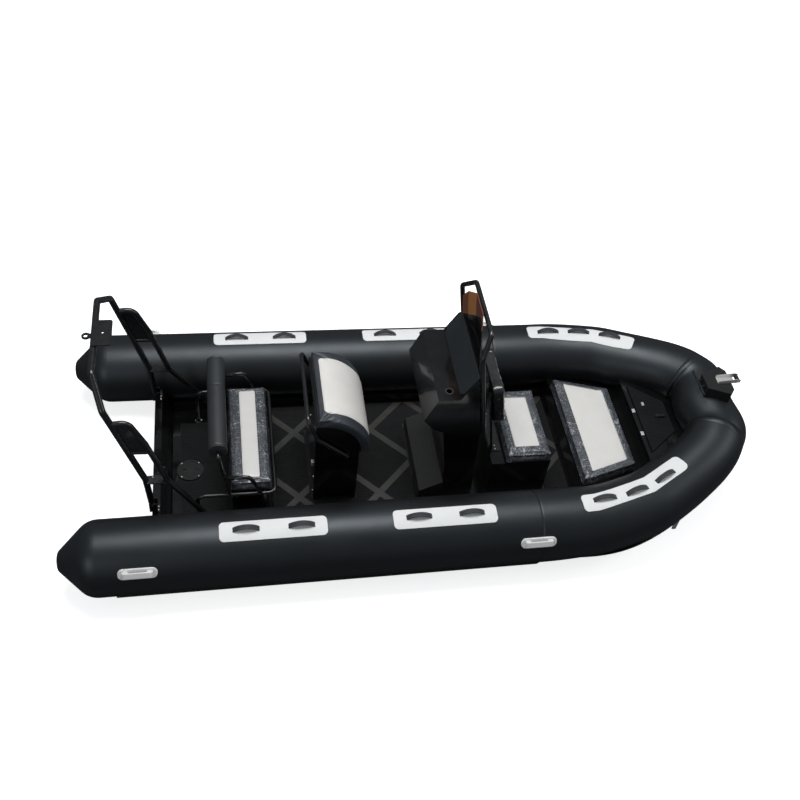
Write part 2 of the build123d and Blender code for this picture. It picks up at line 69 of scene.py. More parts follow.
def node_of(tree, kind, inputs=None, **settings):
    """Add a node, set its options, and set or join its inputs."""
    node = tree.nodes.new(kind)
    for key, value in settings.items():
        setattr(node, key, value)
    for key, value in (inputs or {}).items():
        if isinstance(value, bpy.types.NodeSocket):
            tree.links.new(value, node.inputs[key])
        else:
            node.inputs[key].default_value = value
    return node


def rgb(r, g, b):
    return (r, g, b, 1.0)


def link_piece(name, mesh, material, body="boat"):
    """Put a finished mesh in the scene as a piece that rides on a body."""
    mesh.name = name
    obj = bpy.data.objects.new(name, mesh)
    bpy.context.scene.collection.objects.link(obj)
    mesh.materials.clear()
    mesh.materials.append(material)
    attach(obj, body)
    return obj


def mesh_from(bm, smooth=False):
    """Turn a bmesh into a mesh with its faces outwards."""
    bmesh.ops.remove_doubles(bm, verts=bm.verts, dist=1e-5)
    bmesh.ops.recalc_face_normals(bm, faces=bm.faces)
    mesh = bpy.data.meshes.new("made")
    bm.to_mesh(mesh)
    bm.free()
    if smooth:
        mesh.polygons.foreach_set("use_smooth", [True] * len(mesh.polygons))
    return mesh


def add_prism(bm, outline, low, high, axis="z"):
    """A flat outline drawn out between two heights along one axis."""
    slot = "xyz".index(axis)

    def corner(a, b, height):
        place = [a, b]
        place.insert(slot, height)
        return bm.verts.new(place)

    bottom = [corner(a, b, low) for a, b in outline]
    top = [corner(a, b, high) for a, b in outline]
    count = len(outline)
    bm.faces.new(bottom)
    bm.faces.new(list(reversed(top)))
    for k in range(count):
        n = (k + 1) % count
        bm.faces.new((bottom[n], bottom[k], top[k], top[n]))


def circle(count, r=1.0):
    """Points round a circle, as pairs."""
    turns = [2 * math.pi * k / count for k in range(count)]
    return [(r * math.cos(a), r * math.sin(a)) for a in turns]


def join_rings(bm, rings):
    """Lay faces between each ring of points and the next."""
    for a, b in zip(rings, rings[1:]):
        for k in range(len(a)):
            n = (k + 1) % len(a)
            bm.faces.new((a[k], a[n], b[n], b[k]))


def rounded_outline(x0, x1, y0, y1, r, steps=5):
    """A rectangle with round corners, as points in order."""
    points = []
    corners = ((x1 - r, y1 - r, 0), (x0 + r, y1 - r, 90), (x0 + r, y0 + r, 180), (x1 - r, y0 + r, 270))
    for cx, cy, start in corners:
        for k in range(steps + 1):
            a = math.radians(start + 90 * k / steps)
            points.append((cx + r * math.cos(a), cy + r * math.sin(a)))
    return points


def bevelled(obj, width):
    """Take the sharpness off a piece's edges with a live bevel."""
    edge = obj.modifiers.new("edges", "BEVEL")
    edge.width = width
    edge.segments = 1
    edge.limit_method = "ANGLE"
    edge.angle_limit = math.radians(35)
    edge.harden_normals = False


def evaluated_mesh(obj):
    """The mesh that a piece's modifiers give."""
    graph = bpy.context.evaluated_depsgraph_get()
    return bpy.data.meshes.new_from_object(obj.evaluated_get(graph))


def applied(obj):
    """Make a piece's modifiers part of its mesh."""
    mesh = evaluated_mesh(obj)
    obj.modifiers.clear()
    obj.data = mesh
    return mesh


def swept(bm, points, section):
    """Draw a section of (side, up) pairs along points that each carry their own side and up directions."""
    rings = [[bm.verts.new(place + side * s + up * u) for s, u in section] for place, side, up in points]
    join_rings(bm, rings)
    bm.faces.new(list(reversed(rings[0])))
    bm.faces.new(rings[-1])


def headed(heading, side):
    """The along and outboard directions of a collar that heads in by an angle."""
    h = math.radians(heading)
    return Vector((math.cos(h), -side * math.sin(h), 0)), Vector((math.sin(h), side * math.cos(h), 0))


def round_collar(out, angle):
    """The way that an angle from the top of a collar points."""
    return out * math.sin(angle) + Vector((0, 0, 1)) * math.cos(angle)


def collar_at(x, side):
    """The collar's centre, its radius and its along and outboard directions where it passes x."""
    for a, b in zip(COLLAR_STATIONS, COLLAR_STATIONS[1:]):
        if x <= b[0]:
            break
    f = (x - a[0]) / (b[0] - a[0])
    y, heading, z, r = (a[k] + f * (b[k] - a[k]) for k in (1, 2, 3, 4))
    return Vector((x, side * y, z)), r, *headed(heading, side)


# Repeats: one node tree places a unit shape on points


def repeat_tree():
    """Build the node tree that sets a unit shape on each point, turned and stretched as the point says."""
    tree = bpy.data.node_groups.new("set_on_points", "GeometryNodeTree")
    face = tree.interface
    face.new_socket("Geometry", in_out="INPUT", socket_type="NodeSocketGeometry")
    face.new_socket("Unit", in_out="INPUT", socket_type="NodeSocketObject")
    face.new_socket("Size", in_out="INPUT", socket_type="NodeSocketFloat").default_value = 1.0
    face.new_socket("Finish", in_out="INPUT", socket_type="NodeSocketMaterial")
    face.new_socket("Geometry", in_out="OUTPUT", socket_type="NodeSocketGeometry")
    given = tree.nodes.new("NodeGroupInput").outputs
    unit = node_of(tree, "GeometryNodeObjectInfo", {"Object": given["Unit"]})
    turn = node_of(tree, "GeometryNodeInputNamedAttribute", {"Name": "turn"}, data_type="FLOAT_VECTOR")
    stretch = node_of(tree, "GeometryNodeInputNamedAttribute", {"Name": "stretch"}, data_type="FLOAT_VECTOR")
    sizes = {0: stretch.outputs["Attribute"], "Scale": given["Size"]}
    scaled = node_of(tree, "ShaderNodeVectorMath", sizes, operation="SCALE")
    angle = node_of(tree, "FunctionNodeEulerToRotation", {"Euler": turn.outputs["Attribute"]})
    placed = node_of(
        tree,
        "GeometryNodeInstanceOnPoints",
        {
            "Points": given["Geometry"],
            "Instance": unit.outputs["Geometry"],
            "Rotation": angle.outputs["Rotation"],
            "Scale": scaled.outputs["Vector"],
        },
    )
    real = node_of(tree, "GeometryNodeRealizeInstances", {"Geometry": placed.outputs["Instances"]})
    painted = node_of(
        tree, "GeometryNodeSetMaterial", {"Geometry": real.outputs["Geometry"], "Material": given["Finish"]}
    )
    node_of(tree, "NodeGroupOutput", {"Geometry": painted.outputs["Geometry"]})
    return tree


def repeated(name, unit_mesh, places, material, body="boat", size=1.0):
    """A piece made of one unit shape set at each (place, turn, stretch)."""
    tree = bpy.data.node_groups.get("set_on_points") or repeat_tree()
    unit = bpy.data.objects.new(name + "_unit", unit_mesh)
    bpy.context.scene.collection.objects.link(unit)
    points = bpy.data.meshes.new(name + "_points")
    points.from_pydata([tuple(p[0]) for p in places], [], [])
    for label, column in (("turn", 1), ("stretch", 2)):
        data = points.attributes.new(label, "FLOAT_VECTOR", "POINT").data
        for k, place in enumerate(places):
            data[k].vector = tuple(place[column])
    holder = bpy.data.objects.new(name + "_holder", points)
    bpy.context.scene.collection.objects.link(holder)
    maker = holder.modifiers.new("repeat", "NODES")
    maker.node_group = tree
    sockets = {s.name: s.identifier for s in tree.interface.items_tree if s.in_out == "INPUT"}
    maker[sockets["Unit"]] = unit
    maker[sockets["Size"]] = size
    maker[sockets["Finish"]] = material
    mesh = evaluated_mesh(holder)
    bpy.data.objects.remove(holder)
    bpy.data.objects.remove(unit)
    for label in ("turn", "stretch"):
        if label in mesh.attributes:
            mesh.attributes.remove(mesh.attributes[label])
    return link_piece(name, mesh, material, body)


def turn_to(direction, spin=0.0):
    """The Euler turn that takes a unit shape's Z to a direction."""
    turn = Vector(direction).to_track_quat("Z", "Y").to_matrix() @ Matrix.Rotation(spin, 3, "Z")
    return tuple(turn.to_euler())


def frame_turn(x_axis, z_axis):
    """The Euler turn whose X and Z lie along the given directions."""
    z = Vector(z_axis).normalized()
    y = z.cross(Vector(x_axis)).normalized()
    x = y.cross(z)
    return tuple(Matrix((x, y, z)).transposed().to_euler())


# Finishes


class Finish:
    """One material's node tree, with short calls for what most finishes share."""

    def __init__(self, name):
        self.material = bpy.data.materials.new(name)
        self.material.use_nodes = True
        self.tree = self.material.node_tree
        self.shader = self.tree.nodes["Principled BSDF"]
        self.place = self.node("ShaderNodeTexCoord").outputs["Object"]

    def node(self, kind, inputs=None, **settings):
        return node_of(self.tree, kind, inputs, **settings)

    def set(self, **values):
        for key, value in values.items():
            self.shader.inputs[key.replace("_", " ")].default_value = value

    def join(self, label, socket):
        self.tree.links.new(socket, self.shader.inputs[label])

    def noise(self, scale, detail=3.0, rough=0.5, place=None):
        inputs = {"Vector": place or self.place, "Scale": scale, "Detail": detail, "Roughness": rough}
        return self.node("ShaderNodeTexNoise", inputs).outputs["Fac"]

    def stretched(self, x, y, z):
        return self.node("ShaderNodeMapping", {"Vector": self.place, "Scale": (x, y, z)}).outputs["Vector"]

    def ranged(self, value, low, high, out_low, out_high):
        inputs = {"Value": value, 1: low, 2: high, 3: out_low, 4: out_high}
        return self.node("ShaderNodeMapRange", inputs).outputs["Result"]

    def mixed(self, factor, a, b):
        """A colour between a and b."""
        return self.node("ShaderNodeMix", {0: factor, 6: a, 7: b}, data_type="RGBA").outputs[2]

    def sums(self, operation, a, b):
        return self.node("ShaderNodeMath", {0: a, 1: b}, operation=operation).outputs[0]

    def bump(self, height, strength, distance, under=None):
        inputs = {"Height": height, "Strength": strength, "Distance": distance}
        if under:
            inputs["Normal"] = under
        return self.node("ShaderNodeBump", inputs).outputs["Normal"]


def two_tone(f, colour, spread, scale):
    """A base colour that drifts a little either way."""
    dark = rgb(*(c * (1 - spread) for c in colour))
    light = rgb(*(c * (1 + spread) for c in colour))
    f.join("Base Color", f.mixed(f.ranged(f.noise(scale), 0.35, 0.65, 0.0, 1.0), dark, light))


def surface(f, colour, spread, scale, rough, grain):
    """What most finishes share: a drifting colour, a drifting roughness and a fine grain.

    rough is scale, detail, lowest, highest; grain is scale, detail, strength, depth.
    """
    two_tone(f, colour, spread, scale)
    rough_scale, rough_detail, lowest, highest = rough
    f.join("Roughness", f.ranged(f.noise(rough_scale, rough_detail), 0.3, 0.7, lowest, highest))
    grain_scale, grain_detail, strength, depth = grain
    f.join("Normal", f.bump(f.noise(grain_scale, grain_detail), strength, depth))


def collar_fabric(f):
    two_tone(f, boat().collar_colour, 0.12, 2.2)
    f.set(Specular_IOR_Level=0.62, Specular_Tint=rgb(0.86, 0.94, 1.0))
    f.join("Roughness", f.ranged(f.noise(5.0, 5.0), 0.3, 0.7, 0.41, 0.48))
    weave = f.bump(f.noise(900.0, 1.0), 0.10, 0.0006)
    f.join("Normal", f.bump(f.noise(7.0, 2.0), 0.08, 0.004, weave))


def strake_rubber(f):
    two_tone(f, (0.0045, 0.0045, 0.005), 0.15, 6.0)
    f.set(Roughness=0.55, Specular_IOR_Level=0.4)
    f.join("Normal", f.bump(f.noise(300.0, 2.0), 0.15, 0.0008))


def step_rubber(f):
    two_tone(f, (0.006, 0.006, 0.0065), 0.2, 20.0)
    f.set(Roughness=0.6, Specular_IOR_Level=0.4)
    f.join("Normal", f.bump(f.noise(420.0, 3.0), 0.35, 0.0012))


def grip_pad_white(f):
    two_tone(f, boat().pad_colour, 0.02, 9.0)
    f.set(Roughness=0.62)
    cells = f.node("ShaderNodeTexVoronoi", {"Vector": f.place, "Scale": 330.0}).outputs["Distance"]
    f.join("Normal", f.bump(cells, 0.35, 0.0009))


def strap_webbing(f):
    uv = f.node("ShaderNodeTexCoord").outputs["UV"]
    ribs = f.node("ShaderNodeTexWave", {"Vector": uv, "Scale": 60.0, "Distortion": 0.6, "Detail": 1.0})
    bands = {"Vector": uv, "Scale": 18.0, "Distortion": 0.4}
    across = f.node("ShaderNodeTexWave", bands, bands_direction="Y")
    weave = f.sums("MULTIPLY", ribs.outputs["Fac"], across.outputs["Fac"])
    f.join("Base Color", f.mixed(weave, rgb(0.016, 0.018, 0.023), rgb(0.045, 0.050, 0.062)))
    f.set(Roughness=0.7, Sheen_Weight=0.25, Sheen_Roughness=0.4)
    f.join("Normal", f.bump(weave, 0.5, 0.0012))


def handle_plastic(f):
    surface(f, (0.80, 0.80, 0.79), 0.02, 14.0, (30.0, 3.0, 0.28, 0.42), (500.0, 2.0, 0.05, 0.0005))


def black_gelcoat(f):
    two_tone(f, boat().gelcoat_colour, 0.2, 3.0)
    f.set(Coat_Weight=0.5, Coat_Roughness=0.05, Specular_IOR_Level=0.35)
    f.join("Roughness", f.ranged(f.noise(9.0, 6.0), 0.35, 0.65, 0.12, 0.26))
    f.join("Normal", f.bump(f.noise(60.0, 2.0), 0.04, 0.002))


def dash_moulding(f):
    surface(f, (0.0165, 0.0165, 0.017), 0.12, 4.0, (25.0, 5.0, 0.42, 0.55), (700.0, 2.0, 0.18, 0.0007))


def instrument_board(f):
    surface(f, (0.0150, 0.0185, 0.0205), 0.1, 5.0, (40.0, 4.0, 0.40, 0.52), (900.0, 1.0, 0.12, 0.0005))


def deck_mat(f):
    surface(f, (0.0042, 0.0047, 0.0054), 0.2, 12.0, (60.0, 3.0, 0.6, 0.7), (800.0, 2.0, 0.2, 0.0006))
    f.set(Specular_IOR_Level=0.22)


def mat_strip(f):
    surface(f, (0.026, 0.0245, 0.022), 0.15, 15.0, (50.0, 4.0, 0.34, 0.48), (400.0, 3.0, 0.12, 0.0006))


def black_plastic(f):
    surface(f, (0.006, 0.006, 0.0066), 0.15, 20.0, (45.0, 4.0, 0.28, 0.42), (600.0, 1.0, 0.06, 0.0004))


def tube_paint(f):
    surface(f, (0.0045, 0.0045, 0.005), 0.2, 10.0, (30.0, 4.0, 0.26, 0.36), (90.0, 1.0, 0.02, 0.0004))
    f.set(Coat_Weight=0.4, Coat_Roughness=0.08)


def stainless(f):
    f.set(Metallic=0.7)
    grain = f.noise(60.0, 4.0, 0.6, f.stretched(1.0, 25.0, 25.0))
    f.join("Base Color", f.mixed(grain, rgb(0.70, 0.69, 0.67), rgb(0.84, 0.83, 0.81)))
    f.join("Roughness", f.ranged(grain, 0.3, 0.7, 0.30, 0.44))
    f.join("Normal", f.bump(grain, 0.06, 0.0005))


def masking_paper(f):
    place = f.node("ShaderNodeSeparateXYZ", {"Vector": f.place}).outputs
    # painted shade: the folds split the paper into facets, and the outer and the centre facets take darker
    # browns, partly painted shade for how each facet faces the light and partly the paper's tint through the
    # sheet
    outer_facet_shade = f.ranged(place["Y"], 0.188, 0.192, 0.0, 1.0)
    centre_facet_shade = f.ranged(place["Y"], 0.088, 0.092, 0.0, 1.0)
    drift = f.ranged(f.noise(6.0), 0.35, 0.65, 0.0, 1.0)
    middle = f.mixed(drift, rgb(0.46, 0.185, 0.052), rgb(0.54, 0.22, 0.062))
    centre_shaded_paper = f.mixed(centre_facet_shade, rgb(0.13, 0.032, 0.017), middle)
    paper = f.mixed(outer_facet_shade, centre_shaded_paper, rgb(0.20, 0.066, 0.026))
    # the paper's lower edge climbs from the far side to the middle; below it the dark sheet is bare
    edge = f.ranged(place["Y"], -0.06, 0.25, 1.40, 1.15)
    bare = f.ranged(f.sums("SUBTRACT", place["Z"], edge), -0.001, 0.001, 1.0, 0.0)
    f.join("Base Color", f.mixed(bare, paper, rgb(0.006, 0.0045, 0.004)))
    f.join("Roughness", f.ranged(bare, 0.0, 1.0, 0.62, 0.12))
    fibre = f.bump(f.noise(700.0, 2.0), 0.12, 0.0004)
    f.join("Normal", f.bump(f.noise(26.0, 3.0, 0.6), 0.12, 0.003, fibre))


def leather_grain(f):
    """The fine cells of leathercloth."""
    cells = f.node("ShaderNodeTexVoronoi", {"Vector": f.place, "Scale": 700.0}).outputs["Distance"]
    f.join("Normal", f.bump(cells, 0.22, 0.0006))


# Creases in the clear film: noise scale, stretch along X, Y and Z, and how wide each line is
CREASES = (
    (6.0, (1.0, 2.6, 1.0), 0.007),
    (9.0, (2.4, 1.0, 1.6), 0.008),
    (15.0, (1.0, 1.6, 1.0), 0.009),
)


def upholstery(f, wrapped):
    """Dark vinyl rim and pale insert, told apart by how far each point is from the seam."""
    edge = f.node("ShaderNodeAttribute", attribute_name="seam_distance").outputs["Fac"]
    inside = f.ranged(edge, -0.0006, 0.0006, 1.0, 0.0)
    drift = f.ranged(f.noise(8.0), 0.3, 0.7, 0.0, 1.0)
    rim = f.mixed(drift, rgb(0.026, 0.031, 0.038), rgb(0.032, 0.038, 0.047))
    mottle = f.ranged(f.noise(11.0, 4.0), 0.3, 0.7, 0.0, 1.0)
    pale = f.mixed(mottle, rgb(0.68, 0.665, 0.635), rgb(0.72, 0.705, 0.68))
    leather_grain(f)
    colour = f.mixed(inside, rim, pale)
    if not wrapped:
        f.join("Base Color", colour)
        f.join("Roughness", f.ranged(f.noise(35.0, 4.0), 0.3, 0.7, 0.40, 0.50))
        return
    # clear film: whitish creases drawn where two swirled noises cross their middle value
    lines = []
    for scale, stretch, width in CREASES:
        swirl = {"Scale": scale, "Detail": 2.0, "Roughness": 0.55, "Distortion": 1.4}
        field = f.node("ShaderNodeTexNoise", {"Vector": f.stretched(*stretch), **swirl}).outputs["Fac"]
        off = f.sums("ABSOLUTE", f.sums("SUBTRACT", field, 0.5), 0.0)
        lines.append(f.ranged(off, 0.0, width, 1.0, 0.0))
    crease = f.sums("MAXIMUM", f.sums("MAXIMUM", lines[0], lines[1]), lines[2])
    patchy = f.ranged(f.noise(5.0, 2.0), 0.40, 0.60, 0.35, 1.0)
    haze = f.sums("MULTIPLY", f.sums("MULTIPLY", crease, patchy), f.ranged(inside, 0.0, 1.0, 0.85, 0.45))
    f.join("Base Color", f.mixed(haze, colour, rgb(0.66, 0.69, 0.74)))
    f.join("Roughness", f.ranged(f.noise(30.0, 3.0), 0.3, 0.7, 0.34, 0.46))
    f.set(Coat_Weight=0.8, Coat_Roughness=0.05)
    height = f.sums("ADD", f.sums("MULTIPLY", crease, 0.5), f.noise(28.0, 4.0, 0.6))
    f.join("Coat Normal", f.bump(height, 0.35, 0.004))


def film_on_black(f):
    """Black vinyl under clear film, as on the wrapped backrest."""
    two_tone(f, (0.007, 0.0075, 0.009), 0.15, 9.0)
    f.join("Roughness", f.ranged(f.noise(30.0, 3.0), 0.3, 0.7, 0.30, 0.42))
    f.set(Coat_Weight=1.0, Coat_Roughness=0.04)
    swirl = {"Vector": f.stretched(1.0, 1.0, 2.2), "Scale": 14.0, "Detail": 3.0, "Distortion": 1.2}
    f.join("Coat Normal", f.bump(f.node("ShaderNodeTexNoise", swirl).outputs["Fac"], 0.55, 0.010))


def bare_vinyl(f):
    upholstery(f, False)


def wrapped_vinyl(f):
    upholstery(f, True)


def bolster_vinyl(f):
    two_tone(f, (0.020, 0.023, 0.026), 0.1, 9.0)
    f.join("Roughness", f.ranged(f.noise(35.0, 4.0), 0.3, 0.7, 0.46, 0.58))
    leather_grain(f)


def floor_paper(f):
    # white to the camera, with the boat's soft shadow, and dimmer as what the boat mirrors
    seen = f.node("ShaderNodeLightPath").outputs["Is Camera Ray"]
    white = rgb(*boat().floor_colour)
    f.join("Base Color", f.mixed(seen, rgb(0.10, 0.11, 0.12), white))
    f.set(Roughness=0.9, Specular_IOR_Level=0.0, Emission_Color=white)
    f.join("Emission Strength", f.sums("MULTIPLY", seen, 0.78))


FINISHES = {
    make.__name__: make
    for make in (
        collar_fabric, strake_rubber, step_rubber, grip_pad_white, strap_webbing, handle_plastic,
        black_gelcoat, dash_moulding, instrument_board, deck_mat, mat_strip, black_plastic, tube_paint,
        stainless, masking_paper, bare_vinyl, wrapped_vinyl, film_on_black, bolster_vinyl, floor_paper,
    )
}

# Which finish each carried-over solid takes
NODE_FINISHES = {
    "collar_fabric": (
        "collar_side_port", "collar_side_starboard", "collar_bow_port", "collar_bow_starboard", "collar_nose",
    ),
    "strake_rubber": ("rub_strake_port", "rub_strake_starboard"),
    "step_rubber": ("bow_step", "bow_roller"),
    "grip_pad_white": ("grip_pads_port", "grip_pads_starboard"),
    "handle_plastic": ("lifting_handles_port", "lifting_handles_starboard"),
    "black_gelcoat": (
        "hull", "transom", "cockpit_liner", "anchor_deck", "helm_seat_pod", "helm_seat_lid", "console_body",
        "front_seat_base", "front_seat_lid", "bench_locker", "bow_locker_lid", "bench_board",
    ),
    "dash_moulding": ("console_footrest",),
    "instrument_board": ("console_instrument_panel",),
    "deck_mat": ("sole_mats", "anchor_hatch"),
    "black_plastic": ("inspection_hatch",),
    "tube_paint": (
        "arch_side_port", "arch_side_starboard", "arch_top_bar", "arch_gusset_port", "arch_gusset_starboard",
        "arch_light_plate", "arch_tow_eye", "arch_feet", "bench_frame", "helm_seat_rail", "console_rail",
        "front_backrest_bracket", "mooring_bar",
    ),
    "masking_paper": ("console_windscreen",),
    "stainless": ("roller_bracket", "hull_eyes"),
}


def finish(name):
    """The named finish, made once."""
    found = bpy.data.materials.get("boat_" + name)
    if found:
        return found
    made = Finish("boat_" + name)
    FINISHES[name](made)
    return made.material


# Settings that a user would change


class BoatSettings(bpy.types.PropertyGroup):
    collar_colour: FloatVectorProperty(
        name="Collar", description="Colour of the inflated tubes", subtype="COLOR", size=3, min=0, max=1,
        default=(0.0042, 0.0047, 0.0056),
    )
    gelcoat_colour: FloatVectorProperty(
        name="Gelcoat", description="Colour of the hull and moulded parts", subtype="COLOR", size=3,
        min=0, max=1,
        default=(0.0032, 0.0033, 0.0036),
    )
    pad_colour: FloatVectorProperty(
        name="Grip pads", description="Colour of the pads under the straps", subtype="COLOR", size=3,
        min=0, max=1,
        default=(0.78, 0.79, 0.79),
    )
    floor_colour: FloatVectorProperty(
        name="Floor", description="Colour of the floor", subtype="COLOR", size=3, min=0, max=1,
        default=(0.94, 0.94, 0.94),
    )
    stuffing: FloatProperty(
        name="Stuffing", description="Pressure that rounds the cushions", default=4.0, min=0.0, max=12.0,
    )
    swell: FloatProperty(
        name="Swell", description="Farthest that a cushion's skin moves as it fills", default=0.009, min=0.0,
        max=0.03, unit="LENGTH",
    )
    rib_pitch: FloatProperty(
        name="Rib pitch", description="Distance between ribs of the deck mat", default=0.012,
        min=0.004, max=0.05, unit="LENGTH",
    )
    strip_width: FloatProperty(
        name="Strip width", description="Width of the smooth strips between the mat's ribbed panels",
        default=0.045, min=0.01, max=0.1, unit="LENGTH",
    )
    screw_size: FloatProperty(
        name="Screw size", description="Across a screw head", default=0.011,
        min=0.003, max=0.03, unit="LENGTH",
    )
    screw_sides: IntProperty(
        name="Screw sides", description="Facets round a screw head", default=12, min=6, max=32,
    )


def boat():
    return bpy.context.scene.boat_settings


# Stage


CAMERA_PLACE = (1.043, -4.075, 5.249)
CAMERA_YAW = math.radians(14.10883)
CAMERA_PITCH = math.radians(47.55642)
CAMERA_ROLL = math.radians(7.97906)
CAMERA_LENS = 44.7194
FLOOR_REACH = 60.0
# What the world gives the boat, and what the camera sees of it
WORLD_LEVELS = (0.21, 1.2)
# Each lamp: place, what it points at, width, depth and watts
LAMPS = {
    "overhead": ((2.0, 0.9, 6.5), (2.1, 0.1, 0.0), 5.0, 2.6, 330.0),
    "side_fill": ((-3.5, -6.0, 4.5), (2.0, 0.0, 0.3), 3.0, 3.0, 85.0),
    "bow_fill": ((9.0, -1.0, 5.0), (3.0, 0.0, 0.4), 3.0, 3.0, 90.0),
}


def camera_turn():
    """The camera's axes from its yaw off athwartships, its pitch down and its roll."""
    ahead = Vector((
        math.sin(CAMERA_YAW) * math.cos(CAMERA_PITCH),
        math.cos(CAMERA_YAW) * math.cos(CAMERA_PITCH),
        -math.sin(CAMERA_PITCH),
    ))
    level = ahead.cross(Vector((0, 0, 1))).normalized()
    over = level.cross(ahead)
    right = level * math.cos(CAMERA_ROLL) + over * math.sin(CAMERA_ROLL)
    up = over * math.cos(CAMERA_ROLL) - level * math.sin(CAMERA_ROLL)
    return Matrix((right, up, -ahead)).transposed()


class BOAT_OT_stage(bpy.types.Operator):
    """Set up the floor, the light and the camera"""

    bl_idname = "boat.stage"
    bl_label = "Stage"

    def execute(self, context):
        context.scene.view_settings.view_transform = "Standard"
        self.camera(context.scene)
        self.floor(context.scene)
        self.world(context.scene)
        self.lamps(context.scene)
        return {"FINISHED"}

    def camera(self, scene):
        data = bpy.data.cameras.new("photo_camera")
        data.sensor_width = 36.0
        data.lens = CAMERA_LENS
        data.clip_end = 200.0
        camera = bpy.data.objects.new("photo_camera", data)
        camera.matrix_world = Matrix.Translation(CAMERA_PLACE) @ camera_turn().to_4x4()
        scene.collection.objects.link(camera)
        scene.camera = camera

    def floor(self, scene):
        bm = bmesh.new()
        bmesh.ops.create_grid(bm, x_segments=1, y_segments=1, size=FLOOR_REACH)
        mesh = bpy.data.meshes.new("floor")
        bm.to_mesh(mesh)
        bm.free()
        floor = bpy.data.objects.new("floor", mesh)
        floor.data.materials.append(finish("floor_paper"))
        scene.collection.objects.link(floor)

    def world(self, scene):
        world = bpy.data.worlds.new("studio")
        world.use_nodes = True
        tree = world.node_tree
        back = tree.nodes["Background"]
        back.inputs["Color"].default_value = rgb(0.88, 0.94, 1.0)
        seen = node_of(tree, "ShaderNodeLightPath").outputs["Is Camera Ray"]
        lit, shown = WORLD_LEVELS
        level = node_of(tree, "ShaderNodeMapRange", {"Value": seen, 3: lit, 4: shown})
        tree.links.new(level.outputs["Result"], back.inputs["Strength"])
        scene.world = world

    def lamps(self, scene):
        for name, (place, aim, width, depth, power) in LAMPS.items():
            lamp = bpy.data.lights.new(name, "AREA")
            lamp.shape = "RECTANGLE"
            lamp.size = width
            lamp.size_y = depth
            lamp.energy = power
            obj = bpy.data.objects.new(name, lamp)
            way = Vector(aim) - Vector(place)
            obj.matrix_world = Matrix.Translation(place) @ way.to_track_quat("-Z", "Y").to_matrix().to_4x4()
            scene.collection.objects.link(obj)


class BOAT_OT_finishes(bpy.types.Operator):
    """Give every solid of the frame its finish"""

    bl_idname = "boat.finishes"
    bl_label = "Finishes"

    def execute(self, context):
        for name, nodes in NODE_FINISHES.items():
            for node in nodes:
                slots = NODES[node].data.materials
                for k in range(len(slots)):
                    slots[k] = finish(name)
        return {"FINISHED"}


# Cushions


def box_distance(u, v, u0, u1, v0, v1, r):
    """How far a point lies outside a rectangle with round corners, negative inside."""
    du = abs(u - (u0 + u1) / 2) - (u1 - u0) / 2 + r
    dv = abs(v - (v0 + v1) / 2) - (v1 - v0) / 2 + r
    return math.hypot(max(du, 0), max(dv, 0)) + min(max(du, dv), 0) - r


def solid_copy(node):
    """A node's mesh with its loose triangles joined up."""
    bm = bmesh.new()
    bm.from_mesh(NODES[node].data)
    bmesh.ops.remove_doubles(bm, verts=bm.verts, dist=1e-5)
    mesh = bpy.data.meshes.new(node + "_copy")
    bm.to_mesh(mesh)
    bm.free()
    return mesh


# The skin starts this far inside the solid, and swells for this many frames
SKIN_INSET = 0.004
SWELL_FRAMES = 20
SKIN = {
    "quality": 4, "mass": 0.3, "tension_stiffness": 25, "compression_stiffness": 25, "bending_stiffness": 4,
    "use_pressure": True, "vertex_group_mass": "held",
}


def shifted(mesh, rests, step):
    """Move the skin along its normals, but not where it rests."""
    for vertex, normal in zip(mesh.vertices, [v.normal.copy() for v in mesh.vertices]):
        if not rests(vertex.co):
            vertex.co += normal * step


def stuffed(node, voxel, rests):
    """Fill a solid's shape like a cushion, with the side that it rests on held."""
    obj = bpy.data.objects.new(node + "_stuffed", solid_copy(node))
    scene = bpy.context.scene
    scene.collection.objects.link(obj)
    remesh = obj.modifiers.new("remesh", "REMESH")
    remesh.mode = "VOXEL"
    remesh.voxel_size = voxel
    applied(obj)
    obj.modifiers.new("ease", "SMOOTH").iterations = 4
    mesh = applied(obj)
    shifted(mesh, rests, -SKIN_INSET)
    start = [v.co.copy() for v in mesh.vertices]
    held = obj.vertex_groups.new(name="held")
    held.add([v.index for v in mesh.vertices if rests(v.co)], 1.0, "REPLACE")
    cloth = obj.modifiers.new("stuffing", "CLOTH")
    for key, value in SKIN.items():
        setattr(cloth.settings, key, value)
    cloth.settings.uniform_pressure_force = boat().stuffing
    cloth.settings.effector_weights.gravity = 0.0
    cloth.collision_settings.use_collision = False
    cloth.point_cache.frame_start = 1
    cloth.point_cache.frame_end = SWELL_FRAMES
    for step in range(1, SWELL_FRAMES + 1):
        scene.frame_set(step)
    swollen = evaluated_mesh(obj)
    ends = [v.co.copy() for v in swollen.vertices]
    obj.modifiers.clear()
    scene.frame_set(1)
    for vertex, a, b in zip(mesh.vertices, start, ends):
        way = b - a
        if way.length > boat().swell:
            way *= boat().swell / way.length
        vertex.co = a + way
    refine = obj.modifiers.new("refine", "SUBSURF")
    refine.levels = 1
    refine.render_levels = 1
    mesh = evaluated_mesh(obj)
    bpy.data.objects.remove(obj)
    return mesh


# The seam's depth and width, and how far the insert stands up
GROOVE = 0.0035
GROOVE_REACH = 0.004
CROWN = 0.004
# A seam distance that is well outside the insert
RIM = 0.05


def sew_insert(mesh, distance):
    """Mark each point's distance from the insert's seam, and pull the skin in along it."""
    normals = [v.normal.copy() for v in mesh.vertices]
    seam = mesh.attributes.new("seam_distance", "FLOAT", "POINT").data
    for k, vertex in enumerate(mesh.vertices):
        d, on_top = distance(vertex.co, normals[k])
        seam[k].value = d if on_top else RIM
        if on_top:
            pull = GROOVE * math.exp(-((d / GROOVE_REACH) ** 2))
            puff = CROWN * (1 - math.exp(-max(-d, 0) / 0.03)) - pull
            vertex.co += normals[k] * puff


